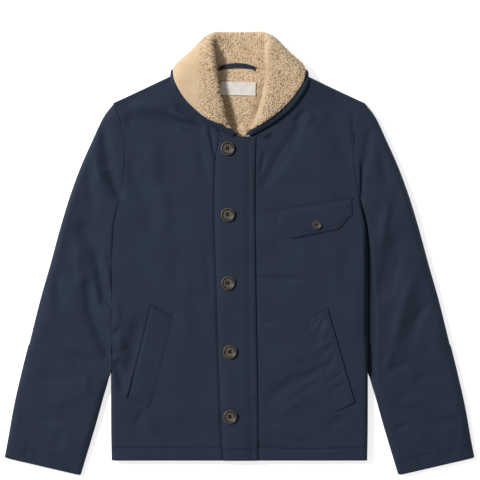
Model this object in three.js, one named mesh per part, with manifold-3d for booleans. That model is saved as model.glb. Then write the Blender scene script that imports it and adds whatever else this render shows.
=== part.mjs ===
// Deck jacket laid flat on its back, with its front buttoned and its pile collar turned out.
// Millimetres. +Z is up from the surface it lies on, +Y runs towards the collar and +X towards
// the sleeve beside the chest pocket. The origin is on that surface, under the middle of the outline.
// Each cloth piece is a wall between an outer and an inner face, both worked out from the tables below.
import * as THREE from "three";
import { mergeVertices } from "three/addons/utils/BufferGeometryUtils.js";
import Module from "manifold-3d";

const wasm = await Module();
wasm.setup();

// Cloth and fold sizes.
const SEAM = 0.3; // clearance left between two sewn pieces
const BODY_HEIGHT = 20; // top of the front panels over the surface
const BODY_WALL = 8; // shell cloth with its pile lining
const SIDE_SEAM_Z = 10; // height of the side and shoulder seams
const EDGE_FACE = 2.5; // least height of cloth left at a rounded edge
const SIDE_ROUND = 30; // width over which a front panel rounds down to its side seam
const SHOULDER_ROUND = 24; // the same at the shoulder seam
const BACK_ROUND = 9; // width over which the back panel turns up at its edges
const HOLLOW = 3; // thickness of the flattened space between two layers
const HEM_Y = -362; // hem of the body
const HEM_DEPTH = 22; // turned-up hem of the body and of each cuff
const STITCH_GROOVE = { half: 2.2, depth: 1 }; // pull of a row of stitches
const ARMPIT_Y = 98;
const SHOULDER = { x: 220.5, y: 262.6 }; // shoulder point, on both sides
const NECK_POINT = { x: 102, y: 317.4 }; // where the shoulder seam meets the neck seam
const BACK_NECK_Y = 321; // middle of the back neck seam
const COLLAR_LIFT = 9.9; // the collar folded under the back raises the neck by this much
const PLACKET_JOIN_X = 18.4; // the two front panels meet here, under the placket

// Half width of the body: side seam, then armhole, from the hem up to the shoulder point.
const SIDE = [
  { y: -362, x: 223.5 },
  { y: -300, x: 224.5 },
  { y: -120, x: 224.5 },
  { y: 0, x: 224.5 },
  { y: 52, x: 221 },
  { y: 84, x: 213.5 },
  { y: 110, x: 207.5 },
  { y: 138, x: 203 },
  { y: 168, x: 200.5 },
  { y: 202, x: 202.5 },
  { y: 238, x: 210.5 },
  { y: 262.6, x: 220.5 },
];

// Sections of a sleeve, from the armhole to the cuff: outer edge, inner edge, and full height.
// Down to the split the inner edge runs along the side of the body, so it has no x of its own.
const SLEEVE = [
  { outX: 220.8, outY: 262.8, inY: 98, height: 20 },
  { outX: 239.4, outY: 238.1, inY: 75, height: 21 },
  { outX: 258.1, outY: 198.6, inY: 47, height: 22 },
  { outX: 279.1, outY: 151.4, inY: 14, height: 22 },
  { outX: 298.4, outY: 98.9, inY: -24, height: 22 },
  { outX: 315.9, outY: 41.1, inY: -66, height: 21 },
  { outX: 332.5, outY: -20.1, inY: -110, height: 21 },
  { outX: 350.0, outY: -81.4, inY: -156, height: 20 },
  { outX: 366.6, outY: -147.9, inY: -204, height: 19 },
  { outX: 380.6, outY: -203.9, inX: 238.5, inY: -253, height: 18 },
  { outX: 394.6, outY: -265.1, inX: 251.5, inY: -300, height: 17 },
  { outX: 405.4, outY: -325.2, inX: 268, inY: -355, height: 15 },
  { outX: 411.6, outY: -357.4, inX: 278, inY: -388.4, height: 13 },
];

// Large soft folds pressed into the cloth: from one end to the other, half width and depth.
const FOLDS = [
  { x0: -186, y0: 246, x1: -62, y1: 231, half: 10, depth: 3.2 }, // chest, under the collar
  { x0: -172, y0: 122, x1: -157, y1: 52, half: 15, depth: 1.8 },
  { x0: 108, y0: 226, x1: 45, y1: 124, half: 10, depth: 3 }, // from the collar to the placket
  { x0: 152, y0: 226, x1: 187, y1: 168, half: 11, depth: 1.8 },
  { x0: 34, y0: -37, x1: 92, y1: -39, half: 8, depth: 1.6 },
  { x0: 112, y0: -196, x1: 62, y1: -236, half: 12, depth: 2 }, // beside the hand pocket
  { x0: -222, y0: -178, x1: -203, y1: -236, half: 8, depth: 2 },
  { x0: -268, y0: 40, x1: -243, y1: -14, half: 13, depth: 4 }, // sleeve pushed in at the body
  { x0: -243, y0: -14, x1: -238, y1: -76, half: 10, depth: 4.2 },
  { x0: -266, y0: -58, x1: -256, y1: -108, half: 11, depth: 4 },
  { x0: -256, y0: -108, x1: -231, y1: -172, half: 9, depth: 4.2 },
  { x0: -238, y0: 228, x1: -230, y1: 178, half: 11, depth: 2.4 },
  { x0: -226, y0: 138, x1: -212, y1: 104, half: 9, depth: 4 },
  { x0: 226, y0: 206, x1: 219, y1: 148, half: 8, depth: 4 },
  { x0: 272, y0: 16, x1: 250, y1: -66, half: 14, depth: 2.6 },
  { x0: 308, y0: -92, x1: 266, y1: -200, half: 14, depth: 2.4 },
];

// Key sections of the collar for the side away from the chest pocket, from the front end round to
// the middle of the back. Each is the neck seam, the roll, a point on the turned-out leaf and its rim.
const COLLAR = [
  { seam: [-2, 206, 19.6], roll: [-5.5, 209.5, 23.6], leaf: [-8, 209, 25.4], rim: [-10, 205.6, 24.4] },
  { seam: [-25, 218.5, 19.2], roll: [-24, 226, 27], leaf: [-30, 222.5, 30], rim: [-36, 216.6, 25] },
  { seam: [-46, 231, 19.2], roll: [-32, 249, 31], leaf: [-49, 241, 34.5], rim: [-62, 229.6, 25.2] },
  { seam: [-66, 250.5, 19.6], roll: [-38.5, 276, 33.5], leaf: [-64, 264, 37], rim: [-85, 246.6, 26] },
  { seam: [-83, 272, 24.5], roll: [-43, 302, 36], leaf: [-78, 290, 40.5], rim: [-105.6, 268, 31] },
  { seam: [-95, 295, 27.5], roll: [-47, 328, 37], leaf: [-90, 318, 40], rim: [-119, 294, 32.5] },
  { seam: [-99.5, 319, 21.5], roll: [-50, 352, 34.5], leaf: [-91.5, 336, 31], rim: [-120.5, 316.5, 19] },
  { seam: [-86, 322.6, 15], roll: [-51, 372, 28], leaf: [-78.5, 351, 17], rim: [-102, 314, 8.3] },
  { seam: [-62, 322, 11], roll: [-42, 380, 20], leaf: [-62, 364, 9.4], rim: [-74, 304, 8.3] },
  { seam: [-32, 321.7, 10.4], roll: [-20, 381.1, 13.6], leaf: [-31, 362, 8.3], rim: [-36, 300, 8.3] },
  { seam: [0, 321.7, 10.4], roll: [0, 381.1, 12], leaf: [0, 361, 8.3], rim: [0, 300, 8.3] },
];
// What else belongs to the first sections, up to the shoulder: the share of the pile's thickness, how
// far the overlap of the fronts moves the roll and rim of the other side, and the height at the
// armhole of the panel row that ends at the section's seam.
const COLLAR_FRONT = [
  { pile: 0.3, rollDrift: 9, rimDrift: 9, armY: 203 },
  { pile: 0.65, rollDrift: 6, rimDrift: 4, armY: 210 },
  { pile: 1, rollDrift: 7.5, rimDrift: 3, armY: 218 },
  { pile: 1, rollDrift: 8, rimDrift: 2, armY: 227 },
  { pile: 1, rollDrift: 6.5, rimDrift: 1, armY: 237 },
  { pile: 1, rollDrift: 3, rimDrift: 1, armY: 249 },
];
const COLLAR_SECTIONS = 29;
const COLLAR_SHELL = 1; // half thickness of the collar's shell cloth
const COLLAR_PILE = 6;
const COLLAR_FOLD = 3; // radius of the roll
const RIM = { width: 8, height: 2.6 }; // shell rolled over the edge of the pile
const NECK_EDGE = 1.7; // the panels stop this far outside the line of the neck seam

// Front placket: its two edges drift a little sideways as it lies.
const PLACKET = { topY: 203, thickness: 3.2, ridge: 0.9, ridgeWidth: 9 };
const PLACKET_EDGES = [
  { y: -362, left: -28.5, right: 32.5 },
  { y: -240, left: -34.5, right: 31.5 },
  { y: -60, left: -40, right: 28.5 },
  { y: 70, left: -43.5, right: 27 },
  { y: 165, left: -41.5, right: 27.5 },
  { y: 203, left: -35, right: 29 },
];
const BUTTON = { radius: 12, height: 4.2, hole: 1.1, holeSpread: 2.1 };
const POCKET_BUTTON = { radius: 8, height: 3.4, hole: 0.8, holeSpread: 1.5 };
const BUTTONS = [
  { name: "button_1", x: -20.7, y: 183.2 },
  { name: "button_2", x: -20.5, y: 67.7 },
  { name: "button_3", x: -20.1, y: -51.6 },
  { name: "button_4", x: -16.8, y: -171.5 },
  { name: "button_5", x: -16.3, y: -284.7 },
];

// Chest pocket flap: its top edge rises to the side, and both lower corners are cut off.
const FLAP = { x0: 65, y0: 73, x1: 196, y1: 95, thickness: 3, buttonX: 135, buttonY: 50 };
const FLAP_DROP = [
  { along: 0, drop: 12 },
  { along: 0.05, drop: 34 },
  { along: 0.2, drop: 52 },
  { along: 0.83, drop: 49.5 },
  { along: 1, drop: 27 },
];

// Hand pocket welts: slanted strips, the mouth on their outer edge.
const WELTS = [
  { name: "welt_right", mouth: [[-152, -91], [-192, -251]], inside: [[-117, -110], [-157, -270]] },
  { name: "welt_left", mouth: [[154, -96], [202, -261]], inside: [[119, -119], [171, -277]] },
];
const WELT_THICKNESS = 2.6;

const LINING = { edge: 2.1, middle: 6, footY: 170, clearance: 0.8 };
const LABEL = { x: -2.5, y: 287.5, width: 62, height: 23, thickness: 0.8, turn: -0.03 };
const HANGER = { x0: -36, x1: 28, y: 323.8, z: 21.2, rise: 7.2, width: 6, thickness: 2.2, steps: 12 };
const HANGER_SECTION = [
  [-0.5, 0.3],
  [-0.3, 0.5],
  [0.3, 0.5],
  [0.5, 0.3],
]; // across and up, in widths and thicknesses

const NAVY = new THREE.MeshStandardMaterial({ color: 0x2a3342, roughness: 0.85, metalness: 0 });
const PILE = new THREE.MeshStandardMaterial({ color: 0xcdb896, roughness: 0.95, metalness: 0 });
const HORN = new THREE.MeshStandardMaterial({ color: 0x5a5048, roughness: 0.4, metalness: 0 });
const WOVEN = new THREE.MeshStandardMaterial({ color: 0xe4ddd4, roughness: 0.8, metalness: 0 });

const { clamp, lerp, smoothstep } = THREE.MathUtils;

// Value of a table's column at a key, on a smooth curve through its rows.
function column(table, key, name, at) {
  const last = table.length - 1;
  const rising = table[last][key] > table[0][key];
  let i = 0;
  while (i < last - 1 && (rising ? at > table[i + 1][key] : at < table[i + 1][key])) i++;
  const slope = (k) => {
    const a = table[Math.max(k - 1, 0)];
    const b = table[Math.min(k + 1, last)];
    return (b[name] - a[name]) / (b[key] - a[key]);
  };
  const step = table[i + 1][key] - table[i][key];
  const t = clamp((at - table[i][key]) / step, 0, 1);
  const from = table[i][name];
  const to = table[i + 1][name];
  const a = slope(i) * step - (to - from);
  const b = -slope(i + 1) * step + (to - from);
  return (1 - t) * from + t * to + t * (1 - t) * ((1 - t) * a + t * b);
}

const sideX = (y) => column(SIDE, "y", "x", clamp(y, HEM_Y, SHOULDER.y));

// Height of a quarter ellipse, 0 at its edge and 1 at distance width.
const quarter = (distance, width) => Math.sqrt(1 - (1 - clamp(distance, 0, width) / width) ** 2);

// How far a point lies inside the line of the shoulder seam.
function insideShoulder(x, y) {
  const run = SHOULDER.x - NECK_POINT.x;
  const rise = NECK_POINT.y - SHOULDER.y;
  return -((Math.abs(x) - SHOULDER.x) * rise + (y - SHOULDER.y) * run) / Math.hypot(run, rise);
}

// 1 beside the side seam and 0 beside the armhole.
const besideSeam = (y) => 1 - smoothstep(y, 62, 118);

const lift = (x, y) => COLLAR_LIFT * smoothstep(y, 225, 305) * (1 - smoothstep(Math.abs(x), 104, 186));

// Depth of the large folds at a point.
function foldDepth(x, y) {
  let depth = 0;
  for (const f of FOLDS) {
    const dx = f.x1 - f.x0;
    const dy = f.y1 - f.y0;
    const along = clamp(((x - f.x0) * dx + (y - f.y0) * dy) / (dx * dx + dy * dy), 0, 1);
    const away = Math.hypot(x - f.x0 - along * dx, y - f.y0 - along * dy);
    depth = Math.max(depth, f.depth * Math.exp(-((away / f.half) ** 2)));
  }
  return depth;
}

const groove = (away) => STITCH_GROOVE.depth * Math.exp(-((away / STITCH_GROOVE.half) ** 2));

// Top of the front panels, and the underside of their wall.
function frontTop(x, y) {
  const side = sideX(y) - Math.abs(x);
  const fall = BODY_HEIGHT - SIDE_SEAM_Z - EDGE_FACE;
  const atSide = besideSeam(y) * (1 - quarter(side, SIDE_ROUND));
  const atShoulder = 1 - quarter(insideShoulder(x, y), SHOULDER_ROUND);
  const round = Math.max(atSide, atShoulder);
  const press = (foldDepth(x, y) + groove(y - HEM_Y - HEM_DEPTH)) * (1 - round);
  return BODY_HEIGHT + lift(x, y) - fall * round - press;
}

function frontUnderside(x, y) {
  const side = sideX(y) - Math.abs(x);
  const atSide = besideSeam(y) * (1 - quarter(side - BODY_WALL, SIDE_ROUND - BODY_WALL));
  const atShoulder = 1 - quarter(insideShoulder(x, y) - BODY_WALL, SHOULDER_ROUND - BODY_WALL);
  const flat = SIDE_SEAM_Z + HOLLOW / 2;
  return flat + lift(x, y) - (HOLLOW / 2 - SEAM / 2) * Math.max(atSide, atShoulder);
}

function backTop(x, y) {
  const side = sideX(y) - Math.abs(x);
  const atSide = besideSeam(y) * (1 - quarter(side - BODY_WALL, SIDE_ROUND - BODY_WALL));
  const atShoulder = 1 - quarter(insideShoulder(x, y) - BODY_WALL, SHOULDER_ROUND - BODY_WALL);
  const rim = SIDE_SEAM_Z - SEAM / 2 - BODY_WALL;
  return BODY_WALL + lift(x, y) + rim * Math.max(atSide, atShoulder);
}

function backUnderside(x, y) {
  const side = sideX(y) - Math.abs(x);
  const atSide = besideSeam(y) * (1 - quarter(side, BACK_ROUND));
  const atShoulder = 1 - quarter(insideShoulder(x, y), BACK_ROUND);
  return lift(x, y) + (SIDE_SEAM_Z - EDGE_FACE) * Math.max(atSide, atShoulder);
}

// A closed solid from triangles on shared points, turned so that its faces point outwards.
function solid(points, triangles) {
  let volume = 0;
  for (const [a, b, c] of triangles) volume += points[a].dot(points[b].clone().cross(points[c]));
  const facing = volume < 0 ? triangles.map(([a, b, c]) => [a, c, b]) : triangles;
  const geometry = new THREE.BufferGeometry();
  geometry.setAttribute("position", new THREE.Float32BufferAttribute(points.flatMap((p) => p.toArray()), 3));
  geometry.setIndex(facing.flat());
  return geometry;
}

// The wall between two grids of points, rows of equal length.
function wall(outer, inner) {
  const rows = outer.length;
  const cols = outer[0].length;
  const points = [...outer.flat(), ...inner.flat()];
  const at = (side, i, j) => side * rows * cols + i * cols + j;
  const triangles = [];
  const quad = (a, b, c, d) => triangles.push([a, b, c], [a, c, d]);
  for (let i = 0; i < rows - 1; i++)
    for (let j = 0; j < cols - 1; j++) {
      quad(at(0, i, j), at(0, i, j + 1), at(0, i + 1, j + 1), at(0, i + 1, j));
      quad(at(1, i, j), at(1, i + 1, j), at(1, i + 1, j + 1), at(1, i, j + 1));
    }
  for (let i = 0; i < rows - 1; i++) {
    quad(at(0, i, 0), at(0, i + 1, 0), at(1, i + 1, 0), at(1, i, 0));
    quad(at(0, i + 1, cols - 1), at(0, i, cols - 1), at(1, i, cols - 1), at(1, i + 1, cols - 1));
  }
  for (let j = 0; j < cols - 1; j++) {
    quad(at(0, 0, j + 1), at(0, 0, j), at(1, 0, j), at(1, 0, j + 1));
    quad(at(0, rows - 1, j), at(0, rows - 1, j + 1), at(1, rows - 1, j + 1), at(1, rows - 1, j));
  }
  return solid(points, triangles);
}

// The wall of a tube between outer and inner rings of equal length, open at both ends.
function tubeWall(outer, inner) {
  const rings = outer.length;
  const around = outer[0].length;
  const points = [...outer.flat(), ...inner.flat()];
  const at = (side, i, j) => side * rings * around + i * around + (j % around);
  const triangles = [];
  const quad = (a, b, c, d) => triangles.push([a, b, c], [a, c, d]);
  for (let j = 0; j < around; j++) {
    for (let i = 0; i < rings - 1; i++) {
      quad(at(0, i, j), at(0, i, j + 1), at(0, i + 1, j + 1), at(0, i + 1, j));
      quad(at(1, i, j), at(1, i + 1, j), at(1, i + 1, j + 1), at(1, i, j + 1));
    }
    const end = rings - 1;
    quad(at(0, 0, j + 1), at(0, 0, j), at(1, 0, j), at(1, 0, j + 1));
    quad(at(0, end, j), at(0, end, j + 1), at(1, end, j + 1), at(1, end, j));
  }
  return solid(points, triangles);
}

const jacket = new THREE.Group();

function addPiece(name, geometry, material) {
  const mesh = new THREE.Mesh(geometry, material);
  mesh.name = name;
  jacket.add(mesh);
}

// Rows of the body panels, close together at the hem's stitches and the armpit.
const UPPER_ROWS = [52, 78, 98, 118, 144, 172, 195];
const FRONT_ROWS = [-362, -343, -340, -337, -300, -260, -220, -180, -140, -100, -60, -20, 20, ...UPPER_ROWS];
const BACK_ROWS = [-362, -338, -240, -120, -20, ...UPPER_ROWS, 214, 232, 249, SHOULDER.y];
// Share of the way from the neck to the side, close together where the cloth rounds down.
const ACROSS = [0, 0.18, 0.35, 0.5, 0.63, 0.75, 0.85, 0.92, 0.96, 0.985, 0.997, 1];

const between = (from, to, share) => ({ x: lerp(from.x, to.x, share), y: lerp(from.y, to.y, share) });
const rowsToGrid = (rows, shares) => rows.map(({ from, to }) => shares.map((share) => between(from, to, share)));

// A grid of plan points raised to the height that a function gives.
const raised = (grid, height) =>
  grid.map((row) => row.map(({ x, y }) => new THREE.Vector3(x, y, height(x, y))));

// One front panel; side is -1 or 1.
function frontPanel(side) {
  const joinX = PLACKET_JOIN_X + (side * SEAM) / 2;
  const armPoint = (y) => ({ x: side * sideX(y), y });
  const rows = FRONT_ROWS.map((y) => ({ from: { x: joinX, y: Math.min(y, 198) }, to: armPoint(y) }));
  COLLAR_FRONT.forEach(({ rollDrift, armY }, k) => {
    const [seamX, seamY] = COLLAR[k].seam;
    const neckX = side > 0 ? Math.max(rollDrift - seamX + NECK_EDGE, joinX) : seamX - NECK_EDGE;
    rows.push({ from: { x: neckX, y: seamY - NECK_EDGE }, to: armPoint(armY) });
  });
  rows.push({ from: { x: side * NECK_POINT.x, y: NECK_POINT.y }, to: armPoint(SHOULDER.y) });
  const grid = rowsToGrid(rows, ACROSS);
  return wall(raised(grid, frontTop), raised(grid, frontUnderside));
}

// The back panel, in one piece from side seam to side seam.
function backPanel() {
  const level = 118; // above this the rows fan out to the shoulder and neck
  const rows = BACK_ROWS.map((armY) => {
    const up = Math.max(armY - level, 0) / (SHOULDER.y - level);
    return {
      middle: { x: 0, y: up ? lerp(level, BACK_NECK_Y, up) : armY },
      neck: { x: NECK_POINT.x, y: up ? lerp(level, NECK_POINT.y, up) : armY },
      side: { x: sideX(armY), y: armY },
    };
  });
  const neckPart = rowsToGrid(rows.map((row) => ({ from: row.middle, to: row.neck })), [0, 0.5]);
  const sidePart = rowsToGrid(rows.map((row) => ({ from: row.neck, to: row.side })), ACROSS);
  const grid = rows.map((row, i) => {
    const half = [...neckPart[i], ...sidePart[i]];
    const mirrored = half.slice(1).reverse().map(({ x, y }) => ({ x: -x, y }));
    return [...mirrored, ...half];
  });
  return wall(raised(grid, backTop), raised(grid, backUnderside));
}

// One sleeve; side is -1 or 1. Its rings run over the top from the inner edge and back underneath.
function sleeve(side) {
  const openSide = side > 0; // on this side the sleeve stands off the body, with its lower layer showing
  const ledge = openSide ? 9 : 0;
  const toSplit = Array.from({ length: 12 }, (_, k) => 1 + 0.6 * k);
  const stations = [0, 0.35, ...toSplit, 8.3, 9, 9.8, 10.6, 11.05, 11.35, 12];
  const table = SLEEVE.map((row, index) => ({ inX: sideX(row.inY) + 0.8, ...row, index }));
  const top = [0, 0.012, 0.035, 0.07, 0.12, 0.22, 0.36, 0.5, 0.64, 0.78, 0.88, 0.95, 0.985, 1];
  const bottom = [0.985, 0.9, 0.66, 0.34, 0.1, 0.015];
  const bowOf = (y) => {
    const up = (y - ARMPIT_Y) / (SHOULDER.y - ARMPIT_Y);
    return sideX(y) - lerp(sideX(ARMPIT_Y), sideX(SHOULDER.y), up);
  };
  const outer = [];
  const inner = [];
  for (const s of stations) {
    const pick = (name) => column(table, "index", name, s);
    const width = Math.hypot(pick("outX") - pick("inX"), pick("outY") - pick("inY"));
    const height = pick("height");
    const bow = (1 - smoothstep(s, 0, 4)) ** 1.5;
    const fromCuff = Math.hypot(pick("outX") - SLEEVE[12].outX, pick("outY") - SLEEVE[12].outY);
    const place = (share) => {
      const y = lerp(pick("inY"), pick("outY"), share);
      const armY = lerp(ARMPIT_Y, SHOULDER.y, share);
      const x = lerp(pick("inX"), pick("outX"), share) + bow * bowOf(armY);
      return { x: side * Math.max(x, s < 8.2 ? sideX(y) + 2 * SEAM : 0), y };
    };
    const middle = height / 2;
    const outerTop = (share) => {
      const { x, y } = place(share);
      const fromBody = openSide ? quarter(share * width - ledge + 3, 14) : quarter(share * width, 12);
      const edge = Math.min(s < 8.5 ? fromBody : quarter(share * width, 14), quarter((1 - share) * width, 22));
      const low = s < 8.5 && share * width < ledge + 6 ? Math.min(middle, 6) : middle;
      const press = (foldDepth(x, y) + groove(fromCuff - HEM_DEPTH)) * edge;
      return new THREE.Vector3(x, y, lerp(low, height, edge) - press);
    };
    const outerBottom = (share) => {
      const { x, y } = place(share);
      const edge = Math.min(quarter(share * width, 8), quarter((1 - share) * width, 8));
      const low = s < 8.5 ? Math.min(middle, 6) : middle;
      return new THREE.Vector3(x, y, (share < 0.5 ? low : middle) * (1 - edge));
    };
    // The flattened hollow starts one wall in from both edges.
    const wallThickness = (height - HOLLOW) / 2;
    const innerPoint = (share, sign) => {
      const inset = lerp((wallThickness + ledge) / width, 1 - wallThickness / width, share);
      const { x, y } = place(inset);
      const open = Math.min(quarter(share, 0.1), quarter(1 - share, 0.1));
      return new THREE.Vector3(x, y, middle + sign * (HOLLOW / 2) * open);
    };
    outer.push([...top.map(outerTop), ...bottom.map(outerBottom)]);
    inner.push([...top.map((c) => innerPoint(c, 1)), ...bottom.map((c) => innerPoint(c, -1))]);
  }
  return tubeWall(outer, inner);
}

// Guide curves of the collar, all the way round from one front end to the other.
function collarGuides() {
  const half = COLLAR.map((row, k) => ({ pile: 1, rollDrift: 0, rimDrift: 0, ...COLLAR_FRONT[k], ...row }));
  const mirrored = half.slice(0, -1).reverse().map((row) => {
    const flip = ([x, y, z], drift) => [drift - x, y, z];
    return {
      seam: flip(row.seam, row.rollDrift),
      roll: flip(row.roll, row.rollDrift),
      leaf: flip(row.leaf, (row.rollDrift + row.rimDrift) / 2),
      rim: flip(row.rim, row.rimDrift),
      pile: row.pile,
    };
  });
  const all = [...half, ...mirrored];
  const guide = (name) => {
    const points = all.map((row) => new THREE.Vector3(...row[name]));
    return new THREE.CatmullRomCurve3(points, false, "centripetal");
  };
  const pile = all.map((row, index) => ({ index, pile: row.pile }));
  const guides = ["seam", "roll", "leaf", "rim"].map(guide);
  return { guides, pile, last: all.length - 1 };
}

// The collar's middle surface: sections from the neck seam over the roll to the rim, each point with
// its normal towards the pile. Steps run from 0 to 6, one for each control point of a section.
const ROLL_STEPS = [0, 0.6, 1.2, 1.7, 2.2, 2.6, 3, 3.4, 3.8, 4.3, 4.75, 5.2];
const RIM_STEPS = [1.6, 1.06, 1, 0.8, 0.45, 0.14, 0]; // in rim widths from the edge
const PILE_POINTS = ROLL_STEPS.length + 2;

function collarSurface() {
  const { guides, pile, last } = collarGuides();
  const sections = [];
  for (let k = 0; k < COLLAR_SECTIONS; k++) {
    const t = k / (COLLAR_SECTIONS - 1);
    const [seam, roll, leaf, rim] = guides.map((guide) => guide.getPoint(t));
    const out = roll.clone().sub(seam.clone().add(leaf).multiplyScalar(0.5)).normalize();
    const apart = leaf.clone().sub(seam);
    apart.addScaledVector(out, -apart.dot(out)).normalize();
    const fold = COLLAR_FOLD * (0.25 + 0.75 * smoothstep(Math.min(t, 1 - t), 0, 0.05)); // tighter at the front ends
    const base = roll.clone().addScaledVector(out, -fold);
    const foldIn = base.clone().addScaledVector(apart, -fold);
    const foldOut = base.clone().addScaledVector(apart, fold);
    const stand = seam.clone().lerp(foldIn, 0.55);
    const controls = [seam, stand, foldIn, roll, foldOut, leaf, rim];
    const curve = new THREE.CatmullRomCurve3(controls, false, "centripetal");
    const rimShare = Math.min(RIM.width / leaf.distanceTo(rim), 0.48);
    const steps = [...ROLL_STEPS, ...RIM_STEPS.map((w) => 6 - w * rimShare)];
    const row = steps.map((s) => curve.getPoint(s / 6));
    row.thickness = column(pile, "index", "pile", t * last);
    sections.push(row);
  }
  return sections.map((row, i) =>
    row.map((point, j) => {
      const alongA = sections[Math.max(i - 1, 0)][j];
      const alongB = sections[Math.min(i + 1, sections.length - 1)][j];
      const acrossA = row[Math.max(j - 1, 0)];
      const acrossB = row[Math.min(j + 1, row.length - 1)];
      const normal = alongB.clone().sub(alongA).cross(acrossB.clone().sub(acrossA)).normalize();
      return { point, normal, thickness: row.thickness };
    }),
  );
}

const COLLAR_SURFACE = collarSurface();
const offset = ({ point, normal }, distance) => point.clone().addScaledVector(normal, distance);

function collarShell() {
  const bead = [0, 0.75, 1, 0.75, 0];
  const first = COLLAR_SURFACE[0].length - bead.length;
  const outer = COLLAR_SURFACE.map((row) =>
    row.map((p, j) => offset(p, COLLAR_SHELL + (j < first ? 0 : RIM.height * bead[j - first] * p.thickness))),
  );
  const inner = COLLAR_SURFACE.map((row) => row.map((p) => offset(p, -COLLAR_SHELL)));
  return wall(outer, inner);
}

function collarPile() {
  const surface = COLLAR_SURFACE.map((row) => row.slice(0, PILE_POINTS));
  const full = surface[0].map(() => 1); // share of the pile's height, less at the neck seam and rim
  [full[0], full[1], full[PILE_POINTS - 2], full[PILE_POINTS - 1]] = [0.3, 0.75, 0.92, 0.6];
  const outer = surface.map((row) =>
    row.map((p, j) => offset(p, COLLAR_SHELL + SEAM + COLLAR_PILE * p.thickness * full[j])),
  );
  const inner = surface.map((row) => row.map((p) => offset(p, COLLAR_SHELL + SEAM)));
  return wall(outer, inner);
}

// Pile lining of the back, where the open neck shows it.
function backLining() {
  const rows = [0, 0.15, 0.3, 0.42, 0.54, 0.66, 0.78, 0.88, 0.95, 1];
  const cols = [-1, -0.8, -0.6, -0.42, -0.22, 0, 0.22, 0.42, 0.6, 0.8, 1];
  const top = [];
  const bottom = [];
  for (const up of rows) {
    const y = lerp(LINING.footY, BACK_NECK_Y - 0.2, up);
    const half = lerp(88, 78, up ** 3);
    const open = lerp(18, 46, smoothstep(y, 200, 300)); // half width of the opening in the collar
    const row = cols.map((c) => ({ x: c * half, y: y - 4 * c * c * up }));
    bottom.push(row.map(({ x, y: v }) => new THREE.Vector3(x, v, backTop(x, v) + LINING.clearance)));
    top.push(
      row.map(({ x, y: v }) => {
        const inNeck = 1 - smoothstep(Math.abs(x), open * 0.6, open);
        const pileUp = inNeck * smoothstep(v, 224, 246) * (1 - 0.5 * smoothstep(v, 305, 320));
        const pile = lerp(LINING.edge, LINING.middle, pileUp);
        return new THREE.Vector3(x, v, backTop(x, v) + LINING.clearance + pile);
      }),
    );
  }
  return wall(top, bottom);
}

// A strip that lies on the front panels, from a grid of plan points.
function onFront(grid, raise, thickness) {
  const up = raised(grid, (x, y) => frontTop(x, y) + raise);
  const outer = up.map((row) => row.map((p, j) => new THREE.Vector3(p.x, p.y, p.z + thickness(j))));
  return wall(outer, up);
}

function placket() {
  const rows = [...FRONT_ROWS.filter((y) => y < 190), 188, PLACKET.topY - 3, PLACKET.topY];
  const grid = rows.map((y) => {
    const left = column(PLACKET_EDGES, "y", "left", y);
    const right = column(PLACKET_EDGES, "y", "right", y);
    const ridge = right - PLACKET.ridgeWidth;
    const across = [left, left + 3, lerp(left, ridge, 0.5), ridge - 2, ridge + 1, right - 1, right];
    return across.map((x) => ({ x, y }));
  });
  const profile = [-1.2, 0, 0, 0, PLACKET.ridge, PLACKET.ridge, -0.8];
  return onFront(grid, SEAM, (j) => PLACKET.thickness + profile[j]);
}

function pocketFlap() {
  const shares = [0, 0.05, 0.2, 0.36, 0.52, 0.68, 0.83, 0.92, 1];
  const dropAt = (share) => {
    const i = Math.max(FLAP_DROP.findIndex((r) => r.along >= share), 1);
    const [a, b] = [FLAP_DROP[i - 1], FLAP_DROP[i]];
    return lerp(a.drop, b.drop, (share - a.along) / (b.along - a.along));
  };
  const grid = shares.map((share) => {
    const x = lerp(FLAP.x0, FLAP.x1, share);
    const topY = lerp(FLAP.y0, FLAP.y1, share);
    return [0, 0.12, 0.5, 0.9, 1].map((down) => ({ x, y: topY - dropAt(share) * down }));
  });
  const profile = [-0.8, 0, 0, 0, -0.8];
  return onFront(grid, SEAM, (j) => FLAP.thickness + profile[j]);
}

function weltStrip(welt) {
  const [mouth, inside] = [welt.mouth, welt.inside].map((ends) => ends.map(([x, y]) => ({ x, y })));
  const grid = [0, 0.06, 0.3, 0.55, 0.8, 0.94, 1].map((down) => {
    const from = between(...mouth, down);
    const to = between(...inside, down);
    return [0, 0.1, 0.5, 0.93, 1].map((share) => between(from, to, share));
  });
  const profile = [-0.4, 0.3, 0, -0.3, -1];
  return onFront(grid, SEAM, (j) => WELT_THICKNESS + profile[j]);
}

// A turned button with a dished face and four holes.
function button({ radius, height, hole, holeSpread }) {
  const profile = [
    [0, 0],
    [0.75, 0],
    [1, 0.5],
    [0.92, 1],
    [0.78, 0.92],
    [0.66, 0.6],
    [0, 0.55],
  ].map(([r, z]) => new THREE.Vector2(r * radius, z * height));
  const turned = new THREE.LatheGeometry(profile, 16);
  turned.rotateX(Math.PI / 2);
  const drill = new THREE.CylinderGeometry(hole, hole, 3 * height, 5);
  drill.rotateX(Math.PI / 2);
  let body = toManifold(turned);
  for (const [sx, sy] of [[1, 1], [1, -1], [-1, 1], [-1, -1]]) {
    const moved = drill.clone().translate((sx * holeSpread) / Math.SQRT2, (sy * holeSpread) / Math.SQRT2, 0);
    body = body.subtract(toManifold(moved));
  }
  const mesh = body.getMesh();
  const geometry = new THREE.BufferGeometry();
  geometry.setAttribute("position", new THREE.BufferAttribute(mesh.vertProperties, 3));
  geometry.setIndex([...mesh.triVerts]);
  return geometry;
}

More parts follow.
